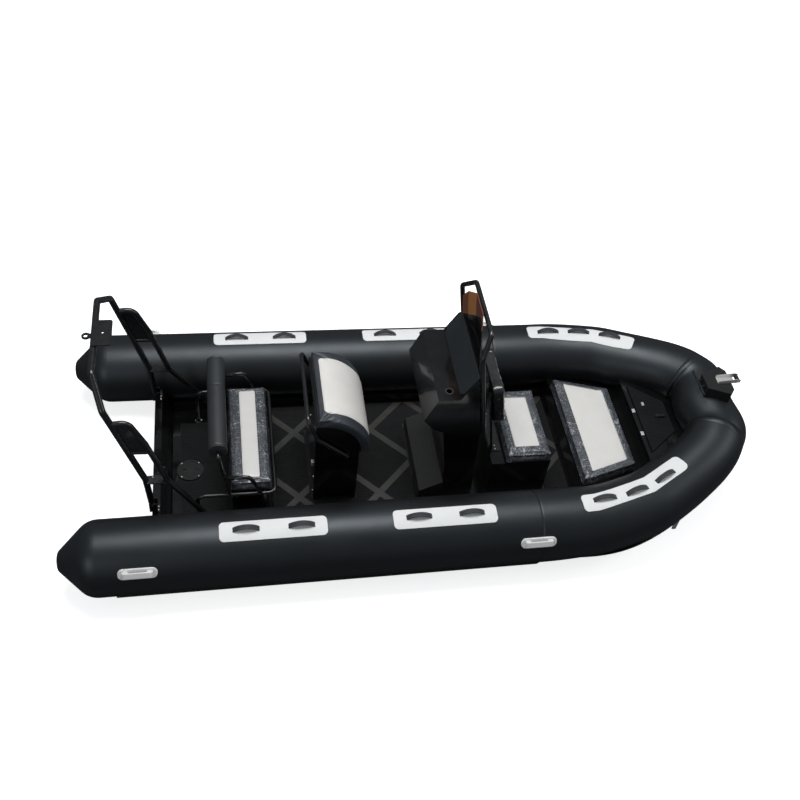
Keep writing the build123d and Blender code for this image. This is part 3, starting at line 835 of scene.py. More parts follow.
def flat_insert(x0, x1, half_aft, half_fwd, r):
    """Distances from the seam of an insert on a level cushion, whose width may change along the boat."""

    def distance(co, normal):
        f = (co.x - x0) / (x1 - x0)
        half = half_aft + (half_fwd - half_aft) * min(max(f, 0), 1)
        return box_distance(co.x, co.y, x0, x1, -half, half, r), normal.z > 0.35

    return distance


# Each film-wrapped pad: node, body, voxel, height it rests at, and its insert as flat_insert takes it
LEVEL_CUSHIONS = {
    "bench_pad": ("bench_cushion", "boat", 0.0060, 0.3394, (1.076, 1.177, 0.354, 0.354, 0.012)),
    "front_seat_pad": (
        "front_seat_cushion", "front_seat", 0.0060, 0.3234, (2.817, 2.979, 0.211, 0.211, 0.012),
    ),
    "bow_pad": ("bow_cushion", "bow_locker_cover", 0.0070, 0.2394, (3.310, 3.569, 0.385, 0.304, 0.012)),
}
# The helm seat's curve: its centre's x and z, and its radius on the pod
HELM_CENTRE = (1.548, 0.522)
HELM_RADIUS = 0.238 + 0.0084
# The bolster's axis, and its seams along it
BOLSTER_AXIS = (0.937, 0.685)
BOLSTER_SEAMS = (-0.352, 0.124, 0.352)


class BOAT_OT_cushions(bpy.types.Operator):
    """Make the level seat cushions, the helm seat's pad and the front backrest"""

    bl_idname = "boat.cushions"
    bl_label = "Cushions"

    def execute(self, context):
        for name, (node, body, voxel, rest_z, insert) in LEVEL_CUSHIONS.items():
            mesh = stuffed(node, voxel, lambda co, z=rest_z: co.z < z + 0.004)
            sew_insert(mesh, flat_insert(*insert))
            self.add(name, node, body, mesh, "wrapped_vinyl")
        self.helm_pad()
        self.backrest()
        return {"FINISHED"}

    def add(self, name, node, body, mesh, vinyl):
        mesh.polygons.foreach_set("use_smooth", [True] * len(mesh.polygons))
        pad = link_piece(name, mesh, finish(vinyl), body)
        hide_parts(node)

    def helm_pad(self):
        centre_x, centre_z = HELM_CENTRE

        def radius(co):
            return co.z - centre_z if co.x < centre_x else math.hypot(co.x - centre_x, co.z - centre_z)

        mesh = stuffed("helm_seat_cushion", 0.0070, lambda co: radius(co) < HELM_RADIUS + 0.004)

        def distance(co, normal):
            run = co.x - centre_x
            if run > 0:
                run = 0.30 * math.atan2(run, co.z - centre_z)
            on_top = radius(co) > HELM_RADIUS + 0.03
            return box_distance(run, co.y, 0.019, 0.413, -0.229, 0.229, 0.03), on_top

        sew_insert(mesh, distance)
        self.add("helm_seat_pad", "helm_seat_cushion", "helm_seat", mesh, "bare_vinyl")

    def backrest(self):
        mesh = stuffed("front_backrest_pad", 0.0070, lambda co: False)
        seam = mesh.attributes.new("seam_distance", "FLOAT", "POINT").data
        for point in seam:
            point.value = RIM
        self.add("front_backrest", "front_backrest_pad", "boat", mesh, "film_on_black")


class BOAT_OT_bolster(bpy.types.Operator):
    """Make the stern bench's round back bolster with its seam and end caps"""

    bl_idname = "boat.bolster"
    bl_label = "Bolster"

    def execute(self, context):
        mesh = stuffed("bench_bolster", 0.0060, lambda co: False)
        axis_x, axis_z = BOLSTER_AXIS
        for vertex in mesh.vertices:
            out = Vector((vertex.co.x - axis_x, 0, vertex.co.z - axis_z))
            if out.length > 0.03:
                for seam_y in BOLSTER_SEAMS:
                    pull = 0.0030 * math.exp(-(((vertex.co.y - seam_y) / 0.0045) ** 2))
                    vertex.co -= out.normalized() * pull
        mesh.polygons.foreach_set("use_smooth", [True] * len(mesh.polygons))
        pad = link_piece("bolster", mesh, finish("bolster_vinyl"), "boat")
        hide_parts("bench_bolster")
        return {"FINISHED"}


# Straps on the grip pads


SIDES = ((1, "port"), (-1, "starboard"))
# Each strap: x, its angle from the top of the collar, how far it tips up in degrees,
# and at the bow the collar's y, heading, height and radius there
STRAP_ROWS = (
    (1.078, 0.12, 0.0, None),
    (1.397, 0.12, 0.0, None),
    (2.089, 0.12, 0.0, None),
    (2.409, 0.12, 0.0, None),
    (3.248, 0.0, 4.5, (0.729, 4, 0.268, 0.2145)),
    (3.461, 0.0, 7.0, (0.698, 14, 0.292, 0.209)),
    (3.661, 0.0, 9.0, (0.622, 26, 0.323, 0.204)),
)
PAD_THICKNESS = 0.003


def strap_unit():
    """One webbing loop lying along X on the pad, with round edges and a map for its weave."""
    bm = bmesh.new()
    half, tall, thick = 0.076, 0.031, 0.0062
    section = rounded_outline(-0.016, 0.016, -thick / 2, thick / 2, 0.0025, 3)
    steps = 28
    points = []
    radius = (half * half + tall * tall) / (2 * tall)
    sweep = math.asin(half / radius)
    for k in range(steps + 1):
        a = -sweep + 2 * sweep * k / steps
        place = Vector((radius * math.sin(a), 0, tall - thick / 2 - radius + radius * math.cos(a)))
        up = Vector((math.sin(a), 0, math.cos(a)))
        points.append((place, Vector((0, 1, 0)), up))
    first, last = points[0], points[-1]
    down = Vector((0, 0, -0.004))
    points = [(first[0] + down, first[1], first[2])] + points + [(last[0] + down, last[1], last[2])]
    swept(bm, points, section)
    mapping = bm.loops.layers.uv.new("UVMap")
    for face in bm.faces:
        for loop in face.loops:
            loop[mapping].uv = (loop.vert.co.x, loop.vert.co.y)
    return mesh_from(bm, smooth=True)


def strap_place(x, angle, tip, station, side):
    """A strap's foot on the pad, and its along and outward directions."""
    centre, r, along, out = collar_at(x, side)
    if station:
        y, heading, z, r = station
        centre = Vector((x, side * y, z))
        along, out = headed(heading, side)
    up = round_collar(out, angle)
    turn = math.radians(tip)
    ahead = along * math.cos(turn) + up * math.sin(turn)
    normal = (up * math.cos(turn) - along * math.sin(turn)).normalized()
    return centre + up * (r + PAD_THICKNESS), ahead, normal


class BOAT_OT_straps(bpy.types.Operator):
    """Make the webbing hand straps on both collars"""

    bl_idname = "boat.straps"
    bl_label = "Hand straps"

    def execute(self, context):
        for side, label in SIDES:
            places = []
            for row in STRAP_ROWS:
                foot, ahead, normal = strap_place(*row, side)
                places.append((foot, frame_turn(ahead, normal), (1, 1, 1)))
            webbing = finish("strap_webbing")
            straps = repeated("hand_straps_" + label, strap_unit(), places, webbing, "boat")
            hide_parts("strap_handles_" + label)
        return {"FINISHED"}


# Deck mat


LATTICE_X, LATTICE_Y = 0.26, 0.27
LATTICE_START = 1.43
MAT_TOP = 0.0612
# The bare edge round a mat, and the shortest rib worth laying
MAT_EDGE = 0.006
SHORTEST_RIB = 0.012
# The stern's small mat, and the inspection plate that its ribs stop short of
AFT_MAT_X0, AFT_MAT_X1, AFT_MAT_HALF = 0.690, 0.98, 0.385
PLATE_X = 0.744
PLATE_CLEAR = 0.098
# The cockpit's mat, and the holes left round what stands on the deck as x0, x1 and half width
MAT_X0, MAT_X1, MAT_HALF = 1.277, 3.218, 0.503
MAT_HOLES = ((1.498, 1.802, 0.302), (2.178, 3.062, 0.327))
# the same mat as rectangles: x0, x1, y0, y1
MAT_CELLS = (
    (1.277, 1.498, -0.503, 0.503), (1.498, 1.802, 0.302, 0.503), (1.498, 1.802, -0.503, -0.302),
    (1.802, 2.178, -0.503, 0.503), (2.178, 3.062, 0.327, 0.503), (2.178, 3.062, -0.503, -0.327),
    (3.062, 3.218, -0.503, 0.503),
)


def strip_gaps(y):
    """The stretches along X where a row at y crosses the smooth lattice strips."""
    gaps = []
    reach = boat().strip_width / 2 * math.hypot(LATTICE_X, LATTICE_Y) / LATTICE_Y
    for lean in (1, -1):
        start = LATTICE_START + lean * (y - LATTICE_Y) * LATTICE_X / LATTICE_Y
        k = math.floor((MAT_X0 - start) / (2 * LATTICE_X)) - 1
        while start + 2 * LATTICE_X * k < MAT_X1 + 0.1:
            x = start + 2 * LATTICE_X * k
            gaps.append((x - reach, x + reach))
            k += 1
    for x0, x1, half in MAT_HOLES:
        if abs(y) < half + 0.01:
            gaps.append((x0, x1))
    return sorted(gaps)


def rib_lines(half):
    """How far from the centreline each rib of a mat lies."""
    pitch = boat().rib_pitch
    rows = int(half / pitch)
    return [k * pitch for k in range(-rows, rows + 1)]


def rib(x0, x1, y, z):
    """The place, turn and stretch of a rib between two places along the boat."""
    return ((x0 + x1) / 2, y, z), (0, 0, 0), (x1 - x0, 1, 1)


def rib_unit():
    """A rib one metre long with sloping sides, lying along X."""
    bm = bmesh.new()
    outline = [(-0.0040, 0.0), (0.0040, 0.0), (0.0026, 0.0016), (-0.0026, 0.0016)]
    add_prism(bm, outline, -0.5, 0.5, axis="x")
    return mesh_from(bm)


def clipped(outline, x0, x1, y0, y1):
    """The part of a convex outline inside a rectangle."""
    for axis, limit, sign in ((0, x0, 1), (0, x1, -1), (1, y0, 1), (1, y1, -1)):
        kept = []
        for a, b in zip(outline, outline[1:] + outline[:1]):
            da = sign * (a[axis] - limit)
            db = sign * (b[axis] - limit)
            if da >= 0:
                kept.append(a)
            if da * db < 0:
                f = da / (da - db)
                kept.append((a[0] + f * (b[0] - a[0]), a[1] + f * (b[1] - a[1])))
        outline = kept
        if len(outline) < 3:
            return []
    return outline


def lattice_strips():
    """The smooth strips between the ribbed panels, cut to the mat's outline."""
    bm = bmesh.new()
    reach = boat().strip_width / 2 * math.hypot(LATTICE_X, LATTICE_Y) / LATTICE_Y - 0.002
    for lean, top in ((1, 0.0012), (-1, 0.0010)):
        run = lean * LATTICE_X / LATTICE_Y
        start = LATTICE_START - run * LATTICE_Y
        k = math.floor((MAT_X0 - start - MAT_HALF) / (2 * LATTICE_X)) - 1
        while start + 2 * LATTICE_X * k < MAT_X1 + MAT_HALF:
            x = start + 2 * LATTICE_X * k
            a, b = x - run * MAT_HALF, x + run * MAT_HALF
            near = [(a - reach, -MAT_HALF), (a + reach, -MAT_HALF)]
            strip = near + [(b + reach, MAT_HALF), (b - reach, MAT_HALF)]
            for cell in MAT_CELLS:
                part = clipped(strip, *cell)
                if part:
                    add_prism(bm, part, MAT_TOP - 0.0004, MAT_TOP + top)
            k += 1
    return mesh_from(bm)


class BOAT_OT_deck_mat(bpy.types.Operator):
    """Lay the ribbed panels and the smooth strips of the deck mat"""

    bl_idname = "boat.deck_mat"
    bl_label = "Deck mat"

    def execute(self, context):
        places = []
        for y in rib_lines(MAT_HALF):
            x = MAT_X0 + MAT_EDGE
            for a, b in strip_gaps(y) + [(MAT_X1 - MAT_EDGE, MAT_X1)]:
                if a - x > SHORTEST_RIB:
                    places.append(rib(x, a, y, MAT_TOP))
                x = max(x, b)
        repeated("mat_ribs", rib_unit(), places, finish("deck_mat"), "boat")
        link_piece("mat_strips", lattice_strips(), finish("mat_strip"), "boat")
        places = []
        for y in rib_lines(AFT_MAT_HALF):
            x0 = AFT_MAT_X0
            if abs(y) < PLATE_CLEAR:
                x0 = PLATE_X + math.sqrt(PLATE_CLEAR ** 2 - y * y)
            places.append(rib(x0, AFT_MAT_X1, y, MAT_TOP))
        repeated("aft_mat_ribs", rib_unit(), places, finish("deck_mat"), "boat")
        return {"FINISHED"}


# Bow collars


# The port bow tube's stations: the collar's own, with a closer start to its bend
BOW_TUBE = (
    COLLAR_STATIONS[1],
    (2.950, 0.7332, 0.5, 0.2510, 0.2243),
    (3.202, 0.731, 3, 0.264, 0.2165),
    *COLLAR_STATIONS[3:8],
)


def eased(rows, x, column):
    """A smooth value between rows, with no overshoot where they run straight."""
    xs = [r[0] for r in rows]
    vs = [r[column] for r in rows]
    slopes = [(vs[k + 1] - vs[k]) / (xs[k + 1] - xs[k]) for k in range(len(rows) - 1)]
    k = 0
    while k < len(slopes) - 1 and x > xs[k + 1]:
        k += 1

    def tangent(j):
        if j == 0:
            return slopes[0]
        if j == len(slopes):
            return slopes[-1]
        a, b = slopes[j - 1], slopes[j]
        return 0.0 if a * b <= 0 else 2 * a * b / (a + b)

    h = xs[k + 1] - xs[k]
    t = (x - xs[k]) / h
    return (
        (2 * t ** 3 - 3 * t ** 2 + 1) * vs[k] + (t ** 3 - 2 * t ** 2 + t) * h * tangent(k)
        + (3 * t ** 2 - 2 * t ** 3) * vs[k + 1] + (t ** 3 - t ** 2) * h * tangent(k + 1)
    )


def bow_tube(side, sides=96, spans=70):
    """One bow tube drawn smoothly through its stations."""
    bm = bmesh.new()
    ring = [(math.sin(2 * math.pi * k / sides), math.cos(2 * math.pi * k / sides)) for k in range(sides)]
    rings = []
    for n in range(spans + 1):
        x = BOW_TUBE[0][0] + (BOW_TUBE[-1][0] - BOW_TUBE[0][0]) * n / spans
        y, heading, z, r = (eased(BOW_TUBE, x, c) for c in (1, 2, 3, 4))
        out = headed(heading, side)[1]
        centre = Vector((x, side * y, z))
        rings.append([bm.verts.new(centre + (out * a + Vector((0, 0, b))) * r) for a, b in ring])
    join_rings(bm, rings)
    bm.faces.new(rings[0])
    bm.faces.new(list(reversed(rings[-1])))
    for face in bm.faces:
        face.smooth = len(face.verts) == 4
    return mesh_from(bm)


class BOAT_OT_bow_tubes(bpy.types.Operator):
    """Draw the bow tubes smoothly through their stations"""

    bl_idname = "boat.bow_tubes"
    bl_label = "Bow tubes"

    def execute(self, context):
        for side, label in SIDES:
            mesh = bow_tube(side)
            tube = link_piece("bow_tube_" + label, mesh, finish("collar_fabric"), "boat")
            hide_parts("collar_bow_" + label)
        return {"FINISHED"}


# Bonded pads and handles on the collars


# Each pad: places along the boat with the angles of its inboard and outboard edges from the top of the tube
PAD_SPANS = (
    ((0.925, -0.131, 0.420), (1.545, -0.131, 0.420)),
    ((1.934, -0.131, 0.420), (2.561, -0.131, 0.420)),
    (
        (3.104, -0.21, 0.34), (3.202, -0.23, 0.33), (3.554, -0.35, 0.24), (3.700, -0.40, 0.20),
        (3.812, -0.41, 0.19),
    ),
)
PAD_CORNER = 0.028
PAD_ROWS = 12
PAD_STEP = 0.035
# The pad's underside and top over the collar's skin
PAD_RISES = (0.0003, PAD_THICKNESS + 0.0004)


def collar_skin(side):
    """A tree for finding the collar's own surface on one side."""
    label = "port" if side > 0 else "starboard"
    bm = bmesh.new()
    bm.from_mesh(NODES["collar_side_" + label].data)
    bm.from_mesh(bpy.data.objects["bow_tube_" + label].data)
    tree = BVHTree.FromBMesh(bm)
    bm.free()
    return tree


def grip_pad(bm, skin, span, side):
    """One pad with round corners, lying on the collar."""
    x0, x1 = span[0][0], span[-1][0]
    ends = [PAD_CORNER * (1 - math.cos(math.radians(a))) for a in range(0, 91, 15)]
    count = max(2, round((x1 - x0) / PAD_STEP))
    inner_run = x1 - x0 - 2 * PAD_CORNER
    middle = [x0 + PAD_CORNER + inner_run * k / count for k in range(1, count)]
    stations = [x0 + e for e in ends] + middle + [x1 - e for e in reversed(ends)]
    low, top = [], []
    for x in stations:
        for a, b in zip(span, span[1:]):
            if x <= b[0]:
                break
        f = (x - a[0]) / (b[0] - a[0])
        from_end = max(0.0, PAD_CORNER - min(x - x0, x1 - x))
        cut = PAD_CORNER - math.sqrt(PAD_CORNER ** 2 - from_end ** 2)
        centre, r, along, out = collar_at(x, side)
        start = a[1] + f * (b[1] - a[1]) + cut / r
        end = a[2] + f * (b[2] - a[2]) - cut / r
        rows = ([], [])
        for k in range(PAD_ROWS + 1):
            way = round_collar(out, start + (end - start) * k / PAD_ROWS)
            reach = skin.ray_cast(centre, way)[3] or r
            for row, rise in zip(rows, PAD_RISES):
                row.append(bm.verts.new(centre + way * (reach + rise)))
        low.append(rows[0])
        top.append(rows[1])
    for a, b, c, d in zip(low, low[1:], top, top[1:]):
        for k in range(PAD_ROWS):
            bm.faces.new((a[k], a[k + 1], b[k + 1], b[k]))
            bm.faces.new((c[k], d[k], d[k + 1], c[k + 1]))
        bm.faces.new((a[0], b[0], d[0], c[0]))
        bm.faces.new((a[-1], c[-1], d[-1], b[-1]))
    for a, c in ((low[0], top[0]), (low[-1], top[-1])):
        for k in range(PAD_ROWS):
            bm.faces.new((a[k], a[k + 1], c[k + 1], c[k]))


# Where the lifting handles stand along the boat, their angle from the top of the collar,
# and how far their plates are let into it
LIFT_PLACES = (0.467, 2.804)
LIFT_ANGLE = math.radians(60)
LIFT_SUNK = 0.006


def handle_unit():
    """A moulded lifting handle: an oval plate with a grip that fingers pass under."""
    bm = bmesh.new()
    add_prism(bm, rounded_outline(-0.1105, 0.1105, -0.033, 0.033, 0.030, 6), 0.0, 0.014)
    grip = [
        (-0.086, 0.012), (-0.086, 0.031), (-0.080, 0.038), (-0.070, 0.040), (0.070, 0.040), (0.080, 0.038),
        (0.086, 0.031), (0.086, 0.012), (0.052, 0.012), (0.052, 0.026), (0.046, 0.031), (-0.046, 0.031),
        (-0.052, 0.026), (-0.052, 0.012),
    ]
    add_prism(bm, grip, -0.019, 0.019, axis="y")
    bmesh.ops.recalc_face_normals(bm, faces=bm.faces)
    sharp = [e for e in bm.edges if len(e.link_faces) == 2 and e.calc_face_angle() > 1.2]
    bmesh.ops.bevel(bm, geom=sharp, offset=0.005, segments=3, affect="EDGES", profile=0.5)
    return mesh_from(bm)


class BOAT_OT_pads_and_handles(bpy.types.Operator):
    """Lay the white grip pads and the moulded lifting handles on both collars"""

    bl_idname = "boat.pads_and_handles"
    bl_label = "Pads and handles"

    def execute(self, context):
        for side, label in SIDES:
            skin = collar_skin(side)
            bm = bmesh.new()
            for span in PAD_SPANS:
                grip_pad(bm, skin, span, side)
            pads = link_piece("pads_" + label, mesh_from(bm), finish("grip_pad_white"), "boat")
            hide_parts("grip_pads_" + label)
            places = []
            for x in LIFT_PLACES:
                centre, r, along, out = collar_at(x, side)
                way = round_collar(out, LIFT_ANGLE)
                places.append((centre + way * (r - LIFT_SUNK), frame_turn(along, way), (1, 1, 1)))
            name = "moulded_handles_" + label
            handles = repeated(name, handle_unit(), places, finish("handle_plastic"), "boat")
            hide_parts("lifting_handles_" + label)
        return {"FINISHED"}


# Bench frame


def bent_line(points, bend, steps=6):
    """Straight runs joined by arcs, as points along the middle of a tube."""
    given = [Vector(p) for p in points]
    line = [given[0]]
    for before, corner, after in zip(given, given[1:], given[2:]):
        back = (before - corner).normalized()
        ahead = (after - corner).normalized()
        half = back.angle(ahead) / 2
        middle = corner + (back + ahead).normalized() * (bend / math.sin(half))
        start = (corner + back * (bend / math.tan(half)) - middle).normalized()
        end = (corner + ahead * (bend / math.tan(half)) - middle).normalized()
        for k in range(steps + 1):
            line.append(middle + start.slerp(end, k / steps).normalized() * bend)
    line.append(given[-1])
    return line


def add_tube(bm, line, r, sides=14):
    """A round tube along a line of points."""
    count = len(line)
    up = (line[1] - line[0]).orthogonal().normalized()
    points = []
    for k in range(count):
        ahead = (line[min(k + 1, count - 1)] - line[max(k - 1, 0)]).normalized()
        up = (up - ahead * up.dot(ahead)).normalized()
        points.append((line[k], ahead.cross(up), up))
    swept(bm, points, circle(sides, r))


RAIL = 0.0125
DECK = 0.0573
# The bench frame's half width and top, its legs and the bars under its board along the boat, and its front
BENCH_Y = 0.425
BENCH_TOP = 0.340
BENCH_LEGS = (0.800, 1.205)
BENCH_BARS = (1.030, 1.205)
BENCH_FRONT = 1.268
BENCH_FOOT = 0.004


class BOAT_OT_bench_frame(bpy.types.Operator):
    """Bend the stern bench's frame with its arm loops and the bolster's posts"""

    bl_idname = "boat.bench_frame"
    bl_label = "Bench frame"

    def execute(self, context):
        bm = bmesh.new()
        y, z = BENCH_Y, BENCH_TOP
        aft, fore = BENCH_LEGS
        loop = [(aft, y, DECK), (aft, y, z), (BENCH_FRONT, y, z)]
        loop += [(BENCH_FRONT, -y, z), (aft, -y, z), (aft, -y, DECK)]
        add_tube(bm, bent_line(loop, 0.045), RAIL)
        for side in (-1, 1):
            y = side * BENCH_Y
            add_tube(bm, [Vector((fore, y, DECK)), Vector((fore, y, z))], RAIL)
            arm = [(0.969, side * 0.419, 0.495), (1.115, y, 0.505), (1.180, y, 0.345)]
            add_tube(bm, bent_line(arm, 0.040), RAIL)
            post = [(0.995, y, z), (0.937, side * 0.412, 0.685), (0.937, side * 0.370, 0.685)]
            add_tube(bm, bent_line(post, 0.016), RAIL - 0.0015)
            for x in BENCH_LEGS:
                add_tube(bm, [Vector((x, y, DECK)), Vector((x, y, DECK + BENCH_FOOT))], 0.024, 24)
        for x in BENCH_BARS:
            add_tube(bm, [Vector((x, -BENCH_Y, 0.316)), Vector((x, BENCH_Y, 0.316))], RAIL)
        mesh = mesh_from(bm, smooth=True)
        frame_piece = link_piece("bench_tubes", mesh, finish("tube_paint"), "boat")
        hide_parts("bench_frame")
        return {"FINISHED"}


# Windscreen and instrument panel


# The windscreen's port edge and folds: x, y and the height of the top, in the order they come
SCREEN_FOLDS = ((2.425, 0.249, 1.300), (2.447, 0.190, 1.384), (2.475, 0.090, 1.456))
SCREEN_FOOT = 1.148
SCREEN_LEAN_FROM = 1.300
SCREEN_LEAN = math.tan(math.radians(7))
SCREEN_THICK = 0.005
# Half of the panel's outline, across and up from its middle, and where that is
PANEL_HALF = ((0.273, -0.092), (0.283, -0.088), (0.287, -0.078), (0.287, 0.056), (0.2594, 0.092))
PANEL_PLACE = (2.407, 0, 1.056)
PANEL_OUT = Vector((-180, 0, 100)).normalized()


class BOAT_OT_dash(bpy.types.Operator):
    """Fold the windscreen and set the instrument panel on the dash"""

    bl_idname = "boat.dash"
    bl_label = "Windscreen and panel"

    def execute(self, context):
        self.windscreen()
        self.panel()
        return {"FINISHED"}

    def windscreen(self):
        folds = list(SCREEN_FOLDS) + [(x, -y, z) for x, y, z in reversed(SCREEN_FOLDS)]
        bm = bmesh.new()
        columns = []
        for x, y, z in folds:
            column = []
            for thick in (0, SCREEN_THICK):
                for height in (SCREEN_FOOT, z):
                    lean = (height - SCREEN_LEAN_FROM) * SCREEN_LEAN
                    column.append(bm.verts.new((x + thick - lean, y, height)))
            columns.append(column)
        for a, b in zip(columns, columns[1:]):
            for i, j in ((0, 1), (3, 2), (1, 3), (2, 0)):
                bm.faces.new((a[i], a[j], b[j], b[i]))
        for c in (columns[0], columns[-1]):
            bm.faces.new((c[0], c[1], c[3], c[2]))
        screen = link_piece("windscreen", mesh_from(bm), finish("masking_paper"), "boat")
        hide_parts("console_windscreen")

    def panel(self):
        outline = list(PANEL_HALF) + [(-u, v) for u, v in reversed(PANEL_HALF)]
        bm = bmesh.new()
        add_prism(bm, outline, 0.0003, 0.0033)
        across = Vector((0, 1, 0))
        turned = Matrix((across, PANEL_OUT.cross(across), PANEL_OUT)).transposed().to_4x4()
        bm.transform(Matrix.Translation(PANEL_PLACE) @ turned)
        panel = link_piece("panel", mesh_from(bm), finish("instrument_board"), "boat")
        bevelled(panel, 0.0008)
        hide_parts("console_instrument_panel")


# Small fittings


def screw_unit():
    """A button head with a socket, one metre across, standing on its point."""
    bm = bmesh.new()
    rings = []
    for r, z in ((0.50, -0.05), (0.50, 0.10), (0.42, 0.24), (0.26, 0.32), (0.20, 0.32), (0.18, 0.16)):
        rings.append([bm.verts.new((x, y, z)) for x, y in circle(boat().screw_sides, r)])
    join_rings(bm, rings)
    bm.faces.new(rings[-1])
    bm.faces.new(list(reversed(rings[0])))
    return mesh_from(bm)


UP = (0.0, 0.0, 1.0)
AFT = (-1.0, 0.0, 0.0)


def screw_places():
    """Every screw's place, turn and stretch."""
    # the inspection plate, the arch's feet, the bench's feet, the backrest's bars, then the helm seat's pod
    round_plate = (0.785, 2.356, 3.927, 5.498)
    flat = [(PLATE_X + 0.0765 * math.cos(a), 0.0765 * math.sin(a), 0.0652) for a in round_plate]
    flat += [(0.569, side * 0.447 + dy, 0.2790) for side in (1, -1) for dy in (-0.013, 0.013)]
    feet = [(x + dx, side) for x in BENCH_LEGS for dx in (-0.0185, 0.0185) for side in (1, -1)]
    flat += [(x, side * BENCH_Y, DECK + BENCH_FOOT) for x, side in feet]
    flat += [(2.703, side * 0.150 + dy, 0.3210) for side in (1, -1) for dy in (-0.014, 0.014)]
    pod = [(1.515, y, z) for y, z in ((0.051, 0.491), (-0.054, 0.460), (-0.250, 0.246), (-0.238, 0.090))]
    return [(place, turn_to(way), (1, 1, 1)) for way, group in ((UP, flat), (AFT, pod)) for place in group]


# The anchor hatch: the half width that its ribs cover, where they start and how high they lie,
# its aft edge and length, its half width, how much of that slopes in forward, and its bare edge
HATCH_BODY = "anchor_hatch_cover"
HATCH_HALF = 0.270
HATCH_X0 = 3.742
HATCH_TOP = 0.3702
HATCH_AFT, HATCH_LENGTH = 3.735, 0.207
HATCH_SIDE, HATCH_SLOPE = 0.292, 0.160
HATCH_EDGE = 0.008
# Each block: its corners as x0, x1, y0, y1, z0, z1, its edge radius, its finish, and its body
BLOCKS = {
    "hatch_hasp": ((3.846, 3.912, -0.012, 0.012, 0.3704, 0.3860), 0.004, "black_plastic", HATCH_BODY),
    "hatch_catch": ((3.784, 3.802, 0.100, 0.130, 0.3722, 0.3770), 0.0015, "stainless", HATCH_BODY),
    "deck_catch_port": ((3.706, 3.728, 0.054, 0.086, 0.3582, 0.3625), 0.0015, "stainless", "boat"),
    "deck_catch_starboard": ((3.706, 3.728, -0.148, -0.116, 0.3582, 0.3625), 0.0015, "stainless", "boat"),
    "pod_latch": ((1.507, 1.5148, -0.180, -0.154, 0.262, 0.298), 0.0015, "stainless", "boat"),
}
# A black ring round the helm's hole, painted shade that makes the hole look as wide as its dark opening: its
# middle, and its section as radius and height
HELM_HOLE = (2.302, -0.225)
HELM_SHADE_RING = ((0.0165, 0.9662), (0.0165, 0.9680), (0.0270, 0.9680), (0.0285, 0.9662))


def box_mesh(x0, x1, y0, y1, z0, z1, edge):
    """A block with softened edges."""
    bm = bmesh.new()
    add_prism(bm, [(x0, y0), (x1, y0), (x1, y1), (x0, y1)], z0, z1)
    bmesh.ops.recalc_face_normals(bm, faces=bm.faces)
    bmesh.ops.bevel(bm, geom=list(bm.edges), offset=edge, segments=2, affect="EDGES", profile=0.5)
    return mesh_from(bm)


class BOAT_OT_fittings(bpy.types.Operator):
    """Set the screws, the hatch's ribs and hasp, the latches and the pod's latch"""

    bl_idname = "boat.fittings"
    bl_label = "Small fittings"

    def execute(self, context):
        size = boat().screw_size
        repeated("screws", screw_unit(), screw_places(), finish("stainless"), "boat", size)
        places = []
        for y in rib_lines(HATCH_HALF):
            end = HATCH_AFT + HATCH_LENGTH * min(1.0, (HATCH_SIDE - abs(y)) / HATCH_SLOPE) - HATCH_EDGE
            places.append(rib(HATCH_X0, end, y, HATCH_TOP))
        repeated("hatch_ribs", rib_unit(), places, finish("deck_mat"), HATCH_BODY)
        for name, (corners, edge, look, body) in BLOCKS.items():
            link_piece(name, box_mesh(*corners, edge), finish(look), body)
        # a black ring of painted shade round the helm's hole, so that the hole looks wider
        link_piece("helm_bezel", self.helm_shade_ring(), finish("step_rubber"), "boat")
        return {"FINISHED"}

    def helm_shade_ring(self):
        bm = bmesh.new()
        x, y = HELM_HOLE
        rings = [[bm.verts.new((x + u, y + v, z)) for u, v in circle(40, r)] for r, z in HELM_SHADE_RING]
        join_rings(bm, rings + rings[:1])
        return mesh_from(bm)


# Collar seams


# Where the tape lies along the boat, half its width, its underside and top over the skin, and its facets
TAPE_X = 4.138
TAPE_HALF = 0.01372
TAPE_RISES = (0.0002, 0.0011)
TAPE_SIDES = 64


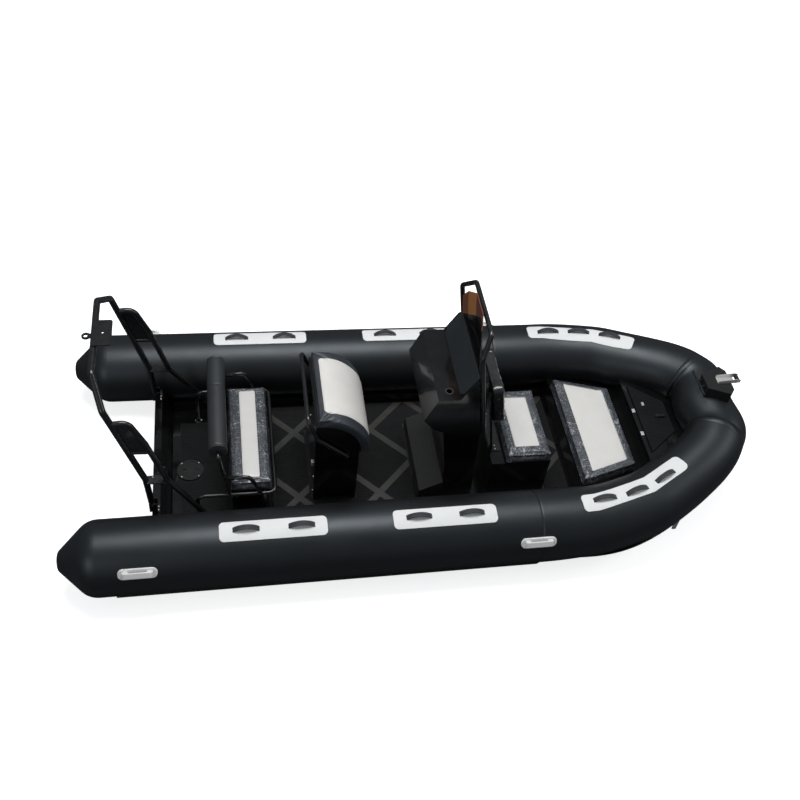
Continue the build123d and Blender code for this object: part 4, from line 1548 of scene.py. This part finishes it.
class BOAT_OT_seams(bpy.types.Operator):
    """Lay the glued tapes over the joints between the bow tubes and the nose tube"""

    bl_idname = "boat.seams"
    bl_label = "Seam tapes"

    def execute(self, context):
        bm = bmesh.new()
        for side in (1, -1):
            self.tape(bm, side)
        mesh = mesh_from(bm, smooth=True)
        tapes = link_piece("seam_tapes", mesh, finish("collar_fabric"), "boat")
        bevelled(tapes, 0.0003)
        return {"FINISHED"}

    def tape(self, bm, side):
        rings = []
        for x in (TAPE_X - TAPE_HALF, TAPE_X + TAPE_HALF):
            centre, r, along, out = collar_at(x, side)
            for rise in TAPE_RISES:
                ways = [round_collar(out, 2 * math.pi * k / TAPE_SIDES) for k in range(TAPE_SIDES)]
                rings.append([bm.verts.new(centre + way * (r + rise)) for way in ways])
        join_rings(bm, [rings[k] for k in (0, 2, 3, 1, 0)])


# The sidebar


OPERATORS = (
    BOAT_OT_stage,
    BOAT_OT_finishes,
    BOAT_OT_cushions,
    BOAT_OT_bolster,
    BOAT_OT_straps,
    BOAT_OT_deck_mat,
    BOAT_OT_bow_tubes,
    BOAT_OT_pads_and_handles,
    BOAT_OT_bench_frame,
    BOAT_OT_dash,
    BOAT_OT_fittings,
    BOAT_OT_seams,
)


class BOAT_PT_panel(bpy.types.Panel):
    """The boat's settings, and a button for each of its steps"""

    bl_idname = "BOAT_PT_panel"
    bl_label = "Boat"
    bl_space_type = "VIEW_3D"
    bl_region_type = "UI"
    bl_category = "Boat"

    def draw(self, context):
        layout = self.layout
        for name in BoatSettings.__annotations__:
            layout.prop(context.scene.boat_settings, name)
        for operator in OPERATORS:
            layout.operator(operator.bl_idname)


CLASSES = (BoatSettings,) + OPERATORS + (BOAT_PT_panel,)


def register():
    for cls in CLASSES:
        bpy.utils.register_class(cls)
    bpy.types.Scene.boat_settings = PointerProperty(type=BoatSettings)


def unregister():
    del bpy.types.Scene.boat_settings
    for cls in reversed(CLASSES):
        bpy.utils.unregister_class(cls)


def main():
    register()
    for operator in OPERATORS:
        group, call = operator.bl_idname.split(".")
        getattr(getattr(bpy.ops, group), call)()


if __name__ == "__main__":
    main()
